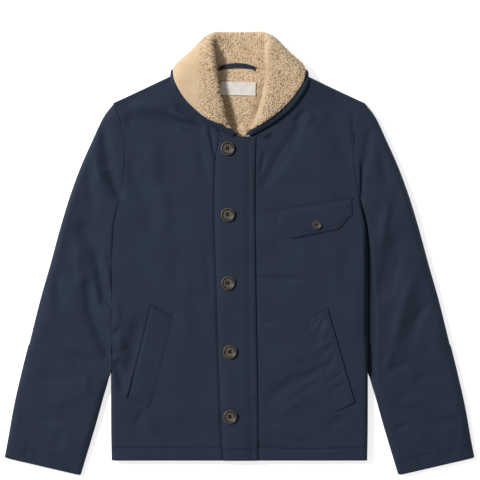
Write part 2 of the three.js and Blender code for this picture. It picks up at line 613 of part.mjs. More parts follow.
// A closed geometry as a solid for cuts, its faces turned outwards.
function toManifold(geometry) {
  const bare = geometry.clone();
  bare.deleteAttribute("normal");
  bare.deleteAttribute("uv");
  const merged = mergeVertices(bare, 1e-4);
  const points = [];
  for (let i = 0; i < merged.attributes.position.count; i++)
    points.push(new THREE.Vector3().fromBufferAttribute(merged.attributes.position, i));
  const triangles = [];
  for (let i = 0; i < merged.index.count; i += 3) triangles.push([...merged.index.array.slice(i, i + 3)]);
  const outward = solid(points, triangles);
  return new wasm.Manifold(
    new wasm.Mesh({
      numProp: 3,
      vertProperties: new Float32Array(outward.attributes.position.array),
      triVerts: new Uint32Array(outward.index.array),
    }),
  );
}

// The highest point of the cloth under a button, so that its flat back clears the cloth.
function clothUnder(x, y, radius) {
  let z = 0;
  for (let k = 0; k < 16; k++) {
    const angle = (k * Math.PI) / 8;
    z = Math.max(z, frontTop(x + radius * Math.cos(angle), y + radius * Math.sin(angle)));
  }
  return z;
}

function addButton(name, size, x, y, cloth) {
  const geometry = button(size);
  geometry.translate(x, y, clothUnder(x, y, size.radius) + SEAM + cloth + SEAM);
  addPiece(name, geometry, HORN);
}

// Hanger loop: a tape that arches over the neck seam and turns down at both ends.
function hangerLoop() {
  const outer = [];
  const inner = [];
  for (let k = 0; k <= HANGER.steps; k++) {
    const share = k / HANGER.steps;
    const x = lerp(HANGER.x0, HANGER.x1, share);
    const arch = Math.sin(Math.PI * share) ** 0.7;
    const y = HANGER.y + HANGER.rise * arch;
    const z = HANGER.z + HANGER.thickness * arch;
    const row = (side) =>
      HANGER_SECTION.map(([w, h]) => new THREE.Vector3(x, y + w * HANGER.width, z + side * h * HANGER.thickness));
    outer.push(row(1));
    inner.push(row(-1));
  }
  return wall(outer, inner);
}

function neckLabel() {
  const cols = [-0.5, -0.25, 0, 0.25, 0.5];
  const place = (cx, cy) => {
    const x = LABEL.x + cx * LABEL.width - cy * LABEL.height * LABEL.turn;
    const y = LABEL.y + cy * LABEL.height + cx * LABEL.width * LABEL.turn;
    return new THREE.Vector3(x, y, backTop(0, y) + LINING.clearance + LINING.middle + SEAM);
  };
  const inner = [-0.5, 0, 0.5].map((cy) => cols.map((cx) => place(cx, cy)));
  const up = new THREE.Vector3(0, 0, LABEL.thickness);
  return wall(inner.map((row) => row.map((p) => p.clone().add(up))), inner);
}

addPiece("back_panel", backPanel(), NAVY);
addPiece("front_right", frontPanel(-1), NAVY);
addPiece("front_left", frontPanel(1), NAVY);
addPiece("sleeve_right", sleeve(-1), NAVY);
addPiece("sleeve_left", sleeve(1), NAVY);
addPiece("collar_shell", collarShell(), NAVY);
addPiece("collar_pile", collarPile(), PILE);
addPiece("back_lining", backLining(), PILE);
addPiece("placket", placket(), NAVY);
addPiece("pocket_flap", pocketFlap(), NAVY);
for (const welt of WELTS) addPiece(welt.name, weltStrip(welt), NAVY);
for (const b of BUTTONS) addButton(b.name, BUTTON, b.x, b.y, PLACKET.thickness);
addButton("pocket_button", POCKET_BUTTON, FLAP.buttonX, FLAP.buttonY, FLAP.thickness);
addPiece("hanger_loop", hangerLoop(), NAVY);
addPiece("neck_label", neckLabel(), WOVEN);

export default jacket;
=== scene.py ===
# Looks of the deck jacket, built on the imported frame. Sizes in the tables are millimetres.
import math

import bpy
import numpy as np
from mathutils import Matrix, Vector, noise


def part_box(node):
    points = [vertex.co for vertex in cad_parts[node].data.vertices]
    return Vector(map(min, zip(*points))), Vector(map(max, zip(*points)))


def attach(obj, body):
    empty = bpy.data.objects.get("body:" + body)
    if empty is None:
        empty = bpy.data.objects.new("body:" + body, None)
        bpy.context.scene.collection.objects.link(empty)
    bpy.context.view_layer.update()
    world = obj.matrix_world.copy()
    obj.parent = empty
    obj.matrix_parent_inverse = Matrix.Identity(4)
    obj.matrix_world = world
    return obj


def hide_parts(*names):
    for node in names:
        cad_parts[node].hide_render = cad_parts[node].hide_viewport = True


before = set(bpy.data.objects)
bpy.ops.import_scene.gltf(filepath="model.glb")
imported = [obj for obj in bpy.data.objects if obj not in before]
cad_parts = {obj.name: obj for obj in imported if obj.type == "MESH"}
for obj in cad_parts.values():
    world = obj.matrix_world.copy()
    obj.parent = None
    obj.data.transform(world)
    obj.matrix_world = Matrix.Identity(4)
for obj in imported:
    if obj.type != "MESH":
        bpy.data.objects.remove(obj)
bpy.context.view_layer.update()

# Back panel: one piece of navy twill backed with pile, sewn to the fronts at the side seams and to
# the sleeves at the armholes. It lies flat on its outer face, which is creased a little from wear,
# and its hem is turned up and stitched.
MM = 0.001
HEM_Y = -362
HEM_DEPTH = 22
BODY_WALL = 8
SIDE_SEAM_Z = 10
HALF_WIDTH = 224.5
CURVE_Y = 118  # the armholes start to curve in here
SHOULDER = (220.5, 262.6)
NECK_POINT = (102, 317.4)
BACK_NECK_Y = 321
COLLAR_LIFT = 9.9
SIDE = [
    (-362, 223.5), (-300, 224.5), (-120, 224.5), (0, 224.5), (52, 221), (84, 213.5),
    (110, 207.5), (138, 203), (168, 200.5), (202, 202.5), (238, 210.5), (262.6, 220.5),
]
BACK_CREASES = [
    (-60, 150, -150, 96, 12, 1.6, 6), (40, 170, 128, 120, 14, 1.3, -5), (-20, 60, 70, 38, 10, 1.2, 4),
    (-170, 30, -120, -70, 13, 1.7, 8), (150, 20, 176, -96, 15, 1.5, -7), (-90, -60, 20, -96, 12, 1.3, 5),
    (60, -120, 150, -190, 14, 1.6, -6), (-180, -150, -90, -236, 13, 1.5, 7),
    (-30, -190, 40, -286, 11, 1.2, 6), (110, -250, 168, -318, 10, 1.1, 3), (-120, -286, -64, -330, 9, 1, -3),
    (-188, 176, -150, 236, 9, 1.2, 2), (186, 190, 140, 250, 10, 1.2, -3), (-10, 230, 30, 120, 13, 1, 5),
]


def hump(distance, half):
    """1 in the middle, falling softly away over the half width."""
    return np.exp(-((distance / half) ** 2))


def wobble(at, short, bend, long):
    """A wave whose length drifts."""
    return np.sin(at / short + bend * np.sin(at / long))


def smooth(value, low, high):
    t = np.clip((value - low) / (high - low), 0, 1)
    return t * t * (3 - 2 * t)


def mix(start, end, share):
    return start + (end - start) * share


def through(rows, at, pick=1):
    """Smooth curve through the rows of a table, whose first value is the key."""
    table = np.array(sorted(rows), float)
    keys, values = table[:, 0], table[:, pick]
    slopes = np.gradient(values)
    slopes[1:-1] = (values[2:] - values[:-2]) / (keys[2:] - keys[:-2])
    slopes[0] = (values[1] - values[0]) / (keys[1] - keys[0])
    slopes[-1] = (values[-1] - values[-2]) / (keys[-1] - keys[-2])
    i = np.clip(np.searchsorted(keys, at, side="right") - 1, 0, len(keys) - 2)
    step = keys[i + 1] - keys[i]
    t = np.clip((at - keys[i]) / step, 0, 1)
    low, high = values[i], values[i + 1]
    leave = slopes[i] * step - (high - low)
    arrive = (high - low) - slopes[i + 1] * step
    return (1 - t) * low + t * high + t * (1 - t) * ((1 - t) * leave + t * arrive)


def side_x(y):
    return through(SIDE, np.clip(y, HEM_Y, SHOULDER[1]))


def quarter(distance, width):
    """Height of a quarter ellipse: 0 at its edge, 1 at the given width."""
    return np.sqrt(1 - (1 - np.clip(distance, 0, width) / width) ** 2)


def inside_shoulder(x, y):
    run = SHOULDER[0] - NECK_POINT[0]
    rise = NECK_POINT[1] - SHOULDER[1]
    return -((np.abs(x) - SHOULDER[0]) * rise + (y - SHOULDER[1]) * run) / math.hypot(run, rise)


def beside_seam(y):
    return 1 - smooth(y, 62, CURVE_Y)


def lift(x, y):
    return COLLAR_LIFT * smooth(y, 225, 305) * (1 - smooth(np.abs(x), 104, 186))


def rounding(x, y, start, reach_side, reach_shoulder):
    """1 at the side and shoulder seams, falling to 0 inside them."""
    side = side_x(y) - np.abs(x) - start
    shoulder = inside_shoulder(x, y) - start
    return np.maximum(beside_seam(y) * (1 - quarter(side, reach_side)), 1 - quarter(shoulder, reach_shoulder))


def back_top(x, y):
    return BODY_WALL + lift(x, y) + 1.85 * rounding(x, y, BODY_WALL, 22, 16)


def creases(x, y, rows):
    """Soft ridges and troughs: from, to, half width, height and bow of each."""
    height = np.zeros_like(x)
    for x0, y0, x1, y1, half, rise, bow in rows:
        dx, dy = x1 - x0, y1 - y0
        along = ((x - x0) * dx + (y - y0) * dy) / (dx * dx + dy * dy)
        held = np.clip(along, 0, 1)
        away = ((x - x0) * dy - (y - y0) * dx) / math.hypot(dx, dy) - bow * 4 * held * (1 - held)
        ends = smooth(along, -0.12, 0.3) * (1 - smooth(along, 0.7, 1.12))
        height += rise * hump(away, half) * ends
    return height


def unevenness(x, y, size, depth, seed):
    """Slow waves that no pressed cloth is without."""
    rng = np.random.default_rng(seed)
    height = np.zeros_like(x)
    for _ in range(7):
        angle = rng.uniform(0, math.pi)
        length = size * rng.uniform(0.6, 1.7)
        wave = (x * math.cos(angle) + y * math.sin(angle)) * math.tau / length + rng.uniform(0, math.tau)
        height += np.sin(wave + 1.3 * np.sin(wave * 0.37 + rng.uniform(0, math.tau)))
    return height * depth / 3


def near(x, y, path):
    """Distance to a line of points, and the length along it."""
    best = np.full_like(x, 1e9)
    reached = np.zeros_like(x)
    start = 0.0
    for (x0, y0), (x1, y1) in zip(path[:-1], path[1:]):
        dx, dy = x1 - x0, y1 - y0
        length = math.hypot(dx, dy)
        t = np.clip(((x - x0) * dx + (y - y0) * dy) / length**2, 0, 1)
        away = np.hypot(x - x0 - t * dx, y - y0 - t * dy)
        closer = away < best
        best = np.where(closer, away, best)
        reached = np.where(closer, start + t * length, reached)
        start += length
    return best, reached


def sewn(x, y, path, depth=0.9, pucker=0.5, pitch=9.0, reach=9.0, seed=1):
    """How a row of stitches sinks into the cloth and puckers it on both sides."""
    away, along = near(x, y, path)
    rng = np.random.default_rng(seed)
    knots = rng.uniform(-1, 1, 400)
    at = along / pitch * (1 + 0.2 * np.sin(along / 61)) + 3
    i = np.clip(at.astype(int), 0, 398)
    wave = mix(knots[i], knots[i + 1], smooth(at - i, 0, 1))
    return -depth * hump(away, 1.7) + pucker * wave * np.exp(-away / reach) * (away < 5 * reach)


def placed(name, data):
    made = bpy.data.objects.new(name, data)
    bpy.context.scene.collection.objects.link(made)
    return made


def dress(made, node=None):
    """Ties a finished piece to the jacket and to the node that it stands for."""
    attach(made, "root")
    if node:
        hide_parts(node)
    return made


def wall(name, outer, inner, uv, finishes, around=False, fields=None, lining_to=None):
    """A closed wall between two grids of points, with half as many points on its inner face."""
    rows, cols = outer.shape[:2]
    index = np.arange(rows * cols).reshape(rows, cols)
    half = inner[::2, ::2]
    hidden = np.arange(half.shape[0] * half.shape[1]).reshape(half.shape[:2]) + rows * cols
    if around:
        index = np.concatenate([index, index[:, :1]], axis=1)
        hidden = np.concatenate([hidden, hidden[:, :1]], axis=1)
    cells = lambda g: np.stack([g[:-1, :-1], g[:-1, 1:], g[1:, 1:], g[1:, :-1]], -1).reshape(-1, 4)
    front = cells(index)
    back = cells(hidden)[:, ::-1]

    def rim(edge, under, turn):
        five = np.stack([edge[:-2:2], edge[1:-1:2], edge[2::2], under[1:], under[:-1]], -1)
        return five[:, ::-1] if turn else five

    rims = [rim(index[0], hidden[0], True), rim(index[-1], hidden[-1], False)]
    if not around:
        rims += [rim(index[:, 0], hidden[:, 0], False), rim(index[:, -1], hidden[:, -1], True)]
    rims = np.concatenate(rims)
    points = np.concatenate([outer.reshape(-1, 3), half.reshape(-1, 3)])
    volume = 0.0
    for group in (front, back, rims):
        corner = points[group]
        for k in range(1, group.shape[1] - 1):
            volume += np.einsum("ij,ij->", corner[:, 0], np.cross(corner[:, k], corner[:, k + 1]))
    groups = [front, back, rims] if volume > 0 else [g[:, ::-1] for g in (front, back, rims)]
    mesh = bpy.data.meshes.new(name)
    mesh.from_pydata((points * MM).tolist(), [], [face for g in groups for face in g.tolist()])
    layer = np.zeros(len(mesh.polygons), np.int32)
    if len(finishes) > 1:
        centres = points[groups[1]].mean(axis=1)
        inside = np.ones(len(back), bool) if lining_to is None else lining_to(centres[:, 0], centres[:, 1])
        layer[len(front): len(front) + len(back)] = inside
    mesh.polygons.foreach_set("material_index", layer)
    mesh.polygons.foreach_set("use_smooth", np.ones(len(mesh.polygons), bool))
    flat = np.concatenate([uv.reshape(-1, 2), uv[::2, ::2].reshape(-1, 2)]) * MM
    corners = np.empty(len(mesh.loops), np.int32)
    mesh.loops.foreach_get("vertex_index", corners)
    mesh.uv_layers.new(name="cloth").data.foreach_set("uv", flat[corners].ravel())
    for field, values in (fields or {}).items():
        both = np.concatenate([values.ravel(), values[::2, ::2].ravel()])
        mesh.attributes.new(field, "FLOAT", "POINT").data.foreach_set("value", both)
    for finish in finishes:
        mesh.materials.append(finish)
    return placed(name, mesh)


def soften(outer, inner, distance, reach):
    """Rounds a wall off where distance from its open edge is small."""
    keep = (0.25 + 0.75 * quarter(distance, reach))[..., None]
    middle = (outer + inner) / 2
    return middle + (outer - middle) * keep, middle + (inner - middle) * keep


def raise_to(x, y, z):
    return np.stack([x, y, z], -1)


class Wire:
    """A socket of a shader; sums and products of wires and numbers become Math nodes."""

    def __init__(self, tree, socket):
        self.tree, self.socket = tree, socket

    def math(self, operation, *values):
        made = self.tree.nodes.new("ShaderNodeMath")
        made.operation = operation
        for slot, value in zip(made.inputs, values):
            if isinstance(value, Wire):
                self.tree.links.new(value.socket, slot)
            else:
                slot.default_value = value
        return Wire(self.tree, made.outputs[0])

    def __add__(self, other):
        return self.math("ADD", self, other)

    def __sub__(self, other):
        return self.math("SUBTRACT", self, other)

    def __rsub__(self, other):
        return self.math("SUBTRACT", other, self)

    def __mul__(self, other):
        return self.math("MULTIPLY", self, other)

    __radd__ = __add__
    __rmul__ = __mul__

    def sine(self):
        return self.math("SINE", self)

    def output(self, name):
        return Wire(self.tree, self.socket.node.outputs[name])


class Finish:
    """A material: fixed settings on its shader, then its nodes."""

    def __init__(self, name, **fixed):
        self.material = bpy.data.materials.new(name)
        self.material.use_nodes = True
        self.tree = self.material.node_tree
        self.shader = self.tree.nodes["Principled BSDF"]
        for socket, value in fixed.items():
            self.shader.inputs[socket.replace("_", " ")].default_value = value

    def node(self, kind, settings=None, sockets=None, output=0):
        made = self.tree.nodes.new("ShaderNode" + kind)
        settings = dict(settings or {})
        stops = settings.pop("stops", None)
        for key, value in settings.items():
            setattr(made, key, value)
        if stops:
            ramp = made.color_ramp.elements
            while len(ramp) < len(stops):
                ramp.new(1)
            for element, (place, colour) in zip(ramp, stops):
                element.position = place
                element.color = colour
        for key, value in (sockets or {}).items():
            if isinstance(value, Wire):
                self.tree.links.new(value.socket, made.inputs[key])
            else:
                made.inputs[key].default_value = value
        return Wire(self.tree, made.outputs[output])

    def tint(self, share, low, high):
        """Mixes two colours."""
        return self.node("Mix", {"data_type": "RGBA"}, {0: share, 6: low, 7: high}, 2)

    def bump(self, height, strength, distance):
        return self.node("Bump", sockets={"Strength": strength, "Distance": distance, "Height": height})

    def noise(self, at, scale, detail, **more):
        return self.node("TexNoise", sockets={"Vector": at, "Scale": scale, "Detail": detail, **more})

    def body(self):
        """Place on the jacket, in metres."""
        return self.node("TexCoord", output=3)

    def feed(self, **wires):
        for socket, wire in wires.items():
            self.tree.links.new(wire.socket, self.shader.inputs[socket.replace("_", " ")])


def colour(*screen):
    """A colour as seen on a screen, made linear."""
    return (*(((c / 255 + 0.055) / 1.055) ** 2.4 if c > 10 else c / 255 / 12.92 for c in screen), 1)


TWILL_RIB = 0.00085  # metres from one rib of the twill to the next


def navy_twill(name, deep, light):
    cloth = Finish(name, Sheen_Weight=0.12, Sheen_Roughness=0.5, Specular_IOR_Level=0.2)
    cloth.shader.inputs["Sheen Tint"].default_value = colour(150, 165, 190)
    place = cloth.node("UVMap", {"uv_map": "cloth"})
    split = cloth.node("SeparateXYZ", sockets={"Vector": place})
    across, along = split, split.output("Y")
    ribs = ((across * 0.894 + along * 0.447) * (math.tau / TWILL_RIB)).sine()
    threads = (along * (math.tau / (TWILL_RIB * 0.62))).sine()
    cloudy = cloth.noise(cloth.body(), 16.0, 4.0, Roughness=0.6)
    stretch = cloth.node("Mapping", sockets={"Vector": place, "Scale": (900.0, 60.0, 1.0)})
    slub = cloth.noise(stretch, 1.0, 2.0)
    fuzz = cloth.noise(cloth.body(), 2600.0, 1.0)
    # Colour: random cloudy and slub tone of the cloth, and the ribs darkening it a little in their grooves,
    # which is painted shade of the weave.
    share = cloudy * 0.9 + slub * 0.35 + ribs * 0.07 + (-0.15)
    cloth.feed(Base_Color=cloth.tint(share, deep, light), Roughness=cloudy * 0.14 + slub * 0.1 + 0.66)
    relief = ribs * 0.5 + threads * 0.22 + slub * 0.6 + fuzz * 0.5
    cloth.feed(Normal=cloth.bump(relief, 0.35, 0.00022))
    return cloth.material


def sherpa(name, deep, middle, pale_painted_highlight):
    """Curly pile; the field called curl is 0 between the curls and 1 on top of them, and the colour follows
    it: painted shade between the curls, painted highlight on their tops.
    """
    pile = Finish(name, Sheen_Weight=0.3, Sheen_Roughness=0.6, Specular_IOR_Level=0.15)
    curl = pile.node("Attribute", {"attribute_name": "curl"}, output=2)
    patches = pile.noise(pile.body(), 45.0, 3.0)
    knots = pile.node("TexVoronoi", {"feature": "SMOOTH_F1"},
                      {"Vector": pile.body(), "Scale": 620.0, "Smoothness": 0.35, "Randomness": 1.0})
    fibres = pile.noise(pile.body(), 1500.0, 3.0, Distortion=1.6)
    # Colour follows curl height, with painted shade between the curls and painted highlight on their tops,
    # plus random patches, fibres and knots.
    shade = curl * 0.8 + patches * 0.25 + fibres * 0.2 - knots * 0.15 + 0.06
    tone_with_painted_curl_light = pile.node("ValToRGB", {"stops": [(0.3, deep), (0.58, middle), (0.95, pale_painted_highlight)]}, {"Fac": shade})
    pile.feed(Base_Color=tone_with_painted_curl_light, Roughness=fibres * 0.08 + 0.88,
              Normal=pile.bump(fibres * 0.6 - knots * 0.9, 0.7, 0.0008))
    return pile.material


NAVY = navy_twill("navy_twill", colour(26, 35, 50), colour(39, 50, 67))
# Pile colours: the deepest one paints the shade between the curls, the palest one the highlight on their tops.
PILE = sherpa("sherpa_pile", colour(126, 88, 50), colour(196, 166, 130), colour(222, 202, 172))


def spread(start, end, step, tight_start=False, tight_end=False, odd=True):
    """Values from start to end, closer together at a rounded edge."""
    edge = np.array([0, 0.35, 0.9, 1.7, 2.8, 4.2, 6])
    length = abs(end - start)
    low = edge if tight_start else np.array([0.0])
    high = length - (edge[::-1] if tight_end else np.array([0.0]))
    count = max(int((high[0] - low[-1]) / step), 1)
    if odd and (len(low) + len(high) + count - 1) % 2 == 0:
        count += 1
    inside = np.linspace(low[-1], high[0], count + 1)[1:-1]
    places = np.concatenate([low, inside, high])
    return start + np.sign(end - start) * places


BACK_HEM = [(-221, HEM_Y + HEM_DEPTH), (221, HEM_Y + HEM_DEPTH)]


def back_under(x, y):
    side = side_x(y) - np.abs(x)
    shoulder = inside_shoulder(x, y)
    turned = np.maximum(beside_seam(y) * (1 - quarter(side, 9)), 1 - quarter(shoulder, 9))
    pressed = creases(x, y, BACK_CREASES) + np.maximum(-sewn(x, y, BACK_HEM, 0.9, 0.4, seed=31), 0)
    return lift(x, y) + 7.5 * turned + np.maximum(pressed, 0) * (1 - turned)


arm_y = spread(HEM_Y, SHOULDER[1], 4.2, True)
up = np.maximum(arm_y - CURVE_Y, 0) / (SHOULDER[1] - CURVE_Y)
middle_y = np.where(up > 0, mix(CURVE_Y, BACK_NECK_Y, up), arm_y)
neck_y = np.where(up > 0, mix(CURVE_Y, NECK_POINT[1], up), arm_y)
neck_x = NECK_POINT[0]
half_x = np.concatenate([np.linspace(0, neck_x, 25), spread(neck_x, HALF_WIDTH, 4.2, False, True, False)[1:]])
share = np.clip((half_x - neck_x) / (HALF_WIDTH - neck_x), 0, 1)[None, :]
inner_share = np.clip(half_x / neck_x, 0, 1)[None, :]
half_plan_x = np.where(half_x <= neck_x, half_x, mix(neck_x, side_x(arm_y)[:, None], share))
half_plan_y = np.where(half_x <= neck_x, mix(middle_y[:, None], neck_y[:, None], inner_share),
                       mix(neck_y[:, None], arm_y[:, None], share))
plan_x = np.concatenate([-half_plan_x[:, :0:-1], half_plan_x], axis=1)
plan_y = np.concatenate([half_plan_y[:, :0:-1], half_plan_y], axis=1)
under = raise_to(plan_x, plan_y, back_under(plan_x, plan_y))
over = raise_to(plan_x, plan_y, back_top(plan_x, plan_y))
under, over = soften(under, over, plan_y - HEM_Y, 4)
back_panel = wall("back_panel_cloth", under, over, under[..., :2], [NAVY, PILE],
                  fields={"curl": np.full(plan_x.shape, 0.5)}, lining_to=lambda x, y: y > HEM_Y + HEM_DEPTH)
dress(back_panel, "back_panel")

# Front panels: the wearer's right one passes over the left one under the placket. Both are twill
# backed with pile, rounded down to the side and shoulder seams, with folds pressed in where the
# jacket was smoothed out by hand: at the collar, beside the placket and around the hand pockets.
BODY_HEIGHT = 20
HOLLOW = 3
NECK_EDGE = 1.7  # the panels stop this far outside the neck seam
CREASE_DEPTH = 2  # the tables hold how the creases compare with one another
DEEPEST = 5.5
JOIN_X = 18.4
JOIN_TOP_Y = 194  # the two panels meet in a straight line up to here
FRONT_ROWS_UP = [(-2, 206, 9, 203), (-25, 218.5, 6, 210), (-46, 231, 7.5, 218), (-66, 250.5, 8, 227),
                 (-83, 272, 6.5, 237), (-95, 295, 3, 249)]
FOLDS = [
    (-188, 231, -114, 228, 11, 4.8), (-114, 229, -70, 217, 7, 6), (-172, 122, -157, 52, 15, 1.8),
    (108, 226, 45, 124, 10, 2.4), (152, 226, 187, 168, 11, 1.8), (112, -196, 62, -236, 12, 1.3),
    (-222, -178, -203, -236, 8, 2), (-270, 42, -245, -14, 15, 4.2), (-245, -14, -236, -80, 11, 4.2),
    (-266, -58, -257, -108, 11, 4), (-257, -108, -231, -172, 11, 4.2), (-240, 222, -228, 150, 9, 3),
    (-226, 138, -212, 104, 9, 4), (226, 206, 219, 148, 8, 1.8), (272, 16, 250, -66, 14, 2.6),
]
CREASES = [
    (-124, 247, -72, 232, 7, 2.1, 0), (-190, 256, -118, 250, 8, 1.3, 0), (30, -44, 108, -45, 5, -1.4, 0),
    (-112, 256, -66, 233, 5, -1.8, 2), (-96, 270, -74, 252, 5, 1.2, 1), (-188, 262, -130, 256, 7, 1.3, -2),
    (-150, 206, -148, 120, 13, 1.2, 3), (-186, 168, -182, 112, 9, -1.2, 2), (-140, 118, -128, 40, 11, 1, -3),
    (-37, 219, -32, 205, 2.4, -2.6, 0), (-53, 229, -43, 168, 2.4, -2.2, 0), (-52, 222, -47, 196, 4, -1, 1),
    (-70, 190, -50, 120, 8, -0.9, 3), (-178, -112, -200, -222, 11, -2.6, -4),
    (-214, -84, -214, -128, 7, 0.8, 0), (-219, -134, -209, -138, 4, -1.2, 0),
    (-212, -142, -205, -168, 8, 2, 0), (-220, -176, -214, -188, 6, 1.5, 0),
    (-219, -195, -206, -198, 4.5, -1.7, 0), (-211, -200, -202, -238, 7, -1.1, 1),
    (-168, -272, -182, -300, 6, -0.6, 0), (-160, -284, -150, -318, 8, 0.9, 2),
    (-96, -60, -88, -160, 14, 0.9, 4), (-60, 20, -52, -90, 9, -0.8, -3), (-104, 30, -110, -70, 12, -0.8, 4),
    (116, 250, 97, 228, 5, -1.9, 1), (128, 240, 108, 214, 6, 1.2, 2), (92, 196, 60, 140, 5, 0.9, 2),
    (141, 256, 176, 190, 9, 1, 3), (197, 240, 210, 176, 5, -1.3, 2), (46, 180, 36, 138, 5, -1.2, 0),
    (44, 76.1, 66, 73, 1.5, -0.9, 0), (38, -157, 128, -156, 2.4, -0.3, 1), (34, -118, 66, -120, 4, -0.7, 1),
    (186, 10, 184, -60, 12, -0.6, 2), (168, 20, 166, -60, 12, 0.4, -2), (141, -199, 100, -224, 7, -1.2, -2),
    (100, -224, 45, -262, 9, -1, 2), (120, -196, 60, -232, 8, 1, 3), (141, -218, 88, -256, 8, -0.8, -3),
    (118, -240, 70, -282, 9, 0.8, -2), (190, -288, 150, -306, 8, -0.9, 2), (60, 20, 80, -6, 7, -0.7, 1),
    (96, 40, 128, -18, 12, 0.7, 4), (206, -50, 203, -150, 10, 0.6, 2), (60, -300, 120, -320, 8, 0.9, 2),
    (-120, -296, -60, -312, 9, -0.8, -2),
]
PLACKET_EDGES = [(-362, -28.5, 32.5), (-240, -34.5, 31.5), (-60, -40, 28.5), (70, -43.5, 27),
                 (165, -41.5, 27.5), (203, -35, 29)]
WELTS = {
    "welt_right": (((-152, -91), (-192, -251)), ((-117, -110), (-157, -270))),
    "welt_left": (((154, -96), (202, -261)), ((119, -119), (171, -277))),
}
FLAP_LINE = [(65, 73), (196, 95)]
FLAP_CREASE = [(63, 74.6), (198, 96.6)]  # the flap's seam draws the front in here
HEM_RIGHT = [(-218, -339.6), (-120, -339.8), (-62, -340.6), (-30, -339.6)]
HEM_LEFT = [(32, -339.4), (54, -338.6), (76, -341.6), (130, -342), (190, -340.4), (220, -339.4)]


def fold_depth(x, y):
    depth = np.zeros_like(x)
    for x0, y0, x1, y1, half, sink in FOLDS:
        away, _ = near(x, y, [(x0, y0), (x1, y1)])
        depth = np.maximum(depth, sink * hump(away, half))
    return depth


def front_top(x, y):
    """Outer face of both front panels."""
    in_gap = (x > 0) * smooth(y, -190, -130) * (1 - smooth(y, 0, 60))
    rounded = rounding(x, y, 0, np.where(x < 0, 9, 8), 24)
    rounded = mix(rounded, 1 - np.clip((side_x(y) - np.abs(x)) / 7.5, 0, 1), in_gap)
    held = 1 - rounded
    relief = CREASE_DEPTH * (creases(x, y, CREASES) - 0.8 * fold_depth(x, y)) + unevenness(x, y, 62, 0.5, 5)
    relief += sewn(x, y, HEM_RIGHT, 1.7, 0.55, 12, 11, 7) + sewn(x, y, HEM_LEFT, 1.8, 0.6, 13, 11, 8)
    left = [(through(PLACKET_EDGES, k, 1) - 1.2, k) for k in range(HEM_Y, 204, 30)]
    right = [(through(PLACKET_EDGES, k, 2) + 1.5, k) for k in range(HEM_Y, 204, 30)]
    relief += sewn(x, y, left, 1.9, 0.45, 16, 9, 9) + sewn(x, y, right, 0.7, 0.4, 14, 9, 10)
    relief += sewn(x, y, FLAP_CREASE, 1.2, 0.4, 10, 7, 11)
    for k, (mouth, inside) in enumerate(WELTS.values()):
        away, _ = near(x, y, mouth)
        outward = 0.8 if k else -1.8
        slot, _ = near(x - outward, y, mouth)
        drawn = 0.6 if k else mix(1.2, 5.2, smooth(mouth[0][1] - y, 10, 90))
        relief -= drawn * np.exp(-((slot / (1.3 if k else 1.7)) ** 4))
        relief += sewn(x, y, inside, 0.6 if k else 0.2, 0.9 if k else 0.5, 11, 8, 12 + k)
        relief += sewn(x, y, (mouth[0], inside[0]), 0.8 if k else 2, 0.4, 9, 6, 14 + k)
        relief += sewn(x, y, (mouth[1], inside[1]), 0.8, 0.5, 9, 6, 16 + k)
    arm = (1 - beside_seam(y)) * (1 - quarter(side_x(y) - np.abs(x), 3.5))
    drop = mix(mix(0.4, 5, 1 - smooth(y, -210, -165)), 8.5, smooth(x, -40, 40))
    relief = np.where(relief < 0, -DEEPEST * np.tanh(-relief / DEEPEST), relief)
    return BODY_HEIGHT + lift(x, y) - drop * rounded + relief * held - 1.7 * arm * held


def front_underside(x, y):
    return SIDE_SEAM_Z + HOLLOW / 2 + lift(x, y) - 1.35 * rounding(x, y, BODY_WALL, 22, 16)


def front_panel(side, name):
    join = JOIN_X + side * 0.15
    lower = spread(HEM_Y, JOIN_TOP_Y, 1.8, True)
    keys = [(JOIN_TOP_Y, join, JOIN_TOP_Y)]
    for seam_x, seam_y, drift, arm in FRONT_ROWS_UP:
        neck_x = max(drift - seam_x + NECK_EDGE, join) if side > 0 else seam_x - NECK_EDGE
        keys.append((arm, neck_x, seam_y - NECK_EDGE))
    keys.append((SHOULDER[1], side * NECK_POINT[0], NECK_POINT[1]))
    keys = np.array(keys)
    upper = np.linspace(JOIN_TOP_Y, SHOULDER[1], 43)[1:]
    arm = np.concatenate([lower, upper])
    neck_x = np.where(arm <= JOIN_TOP_Y, join, np.interp(arm, keys[:, 0], keys[:, 1]))
    neck_y = np.where(arm <= JOIN_TOP_Y, arm, np.interp(arm, keys[:, 0], keys[:, 2]))
    width = HALF_WIDTH - side * join
    share = spread(0, width, 1.8, False, True)[None, :] / width
    x = mix(neck_x[:, None], side * side_x(arm)[:, None], share)
    y = mix(neck_y[:, None], arm[:, None], share)
    outer = raise_to(x, y, front_top(x, y))
    inner = raise_to(x, y, np.minimum(front_underside(x, y), outer[..., 2] - 2))
    outer, inner = soften(outer, inner, y - HEM_Y, 4)
    made = wall(name + "_cloth", outer, inner, outer[..., :2], [NAVY, PILE],
                fields={"curl": np.full(x.shape, 0.5)}, lining_to=lambda u, v: v > HEM_Y + HEM_DEPTH)
    return dress(made, name)


front_right = front_panel(-1, "front_right")
front_left = front_panel(1, "front_left")

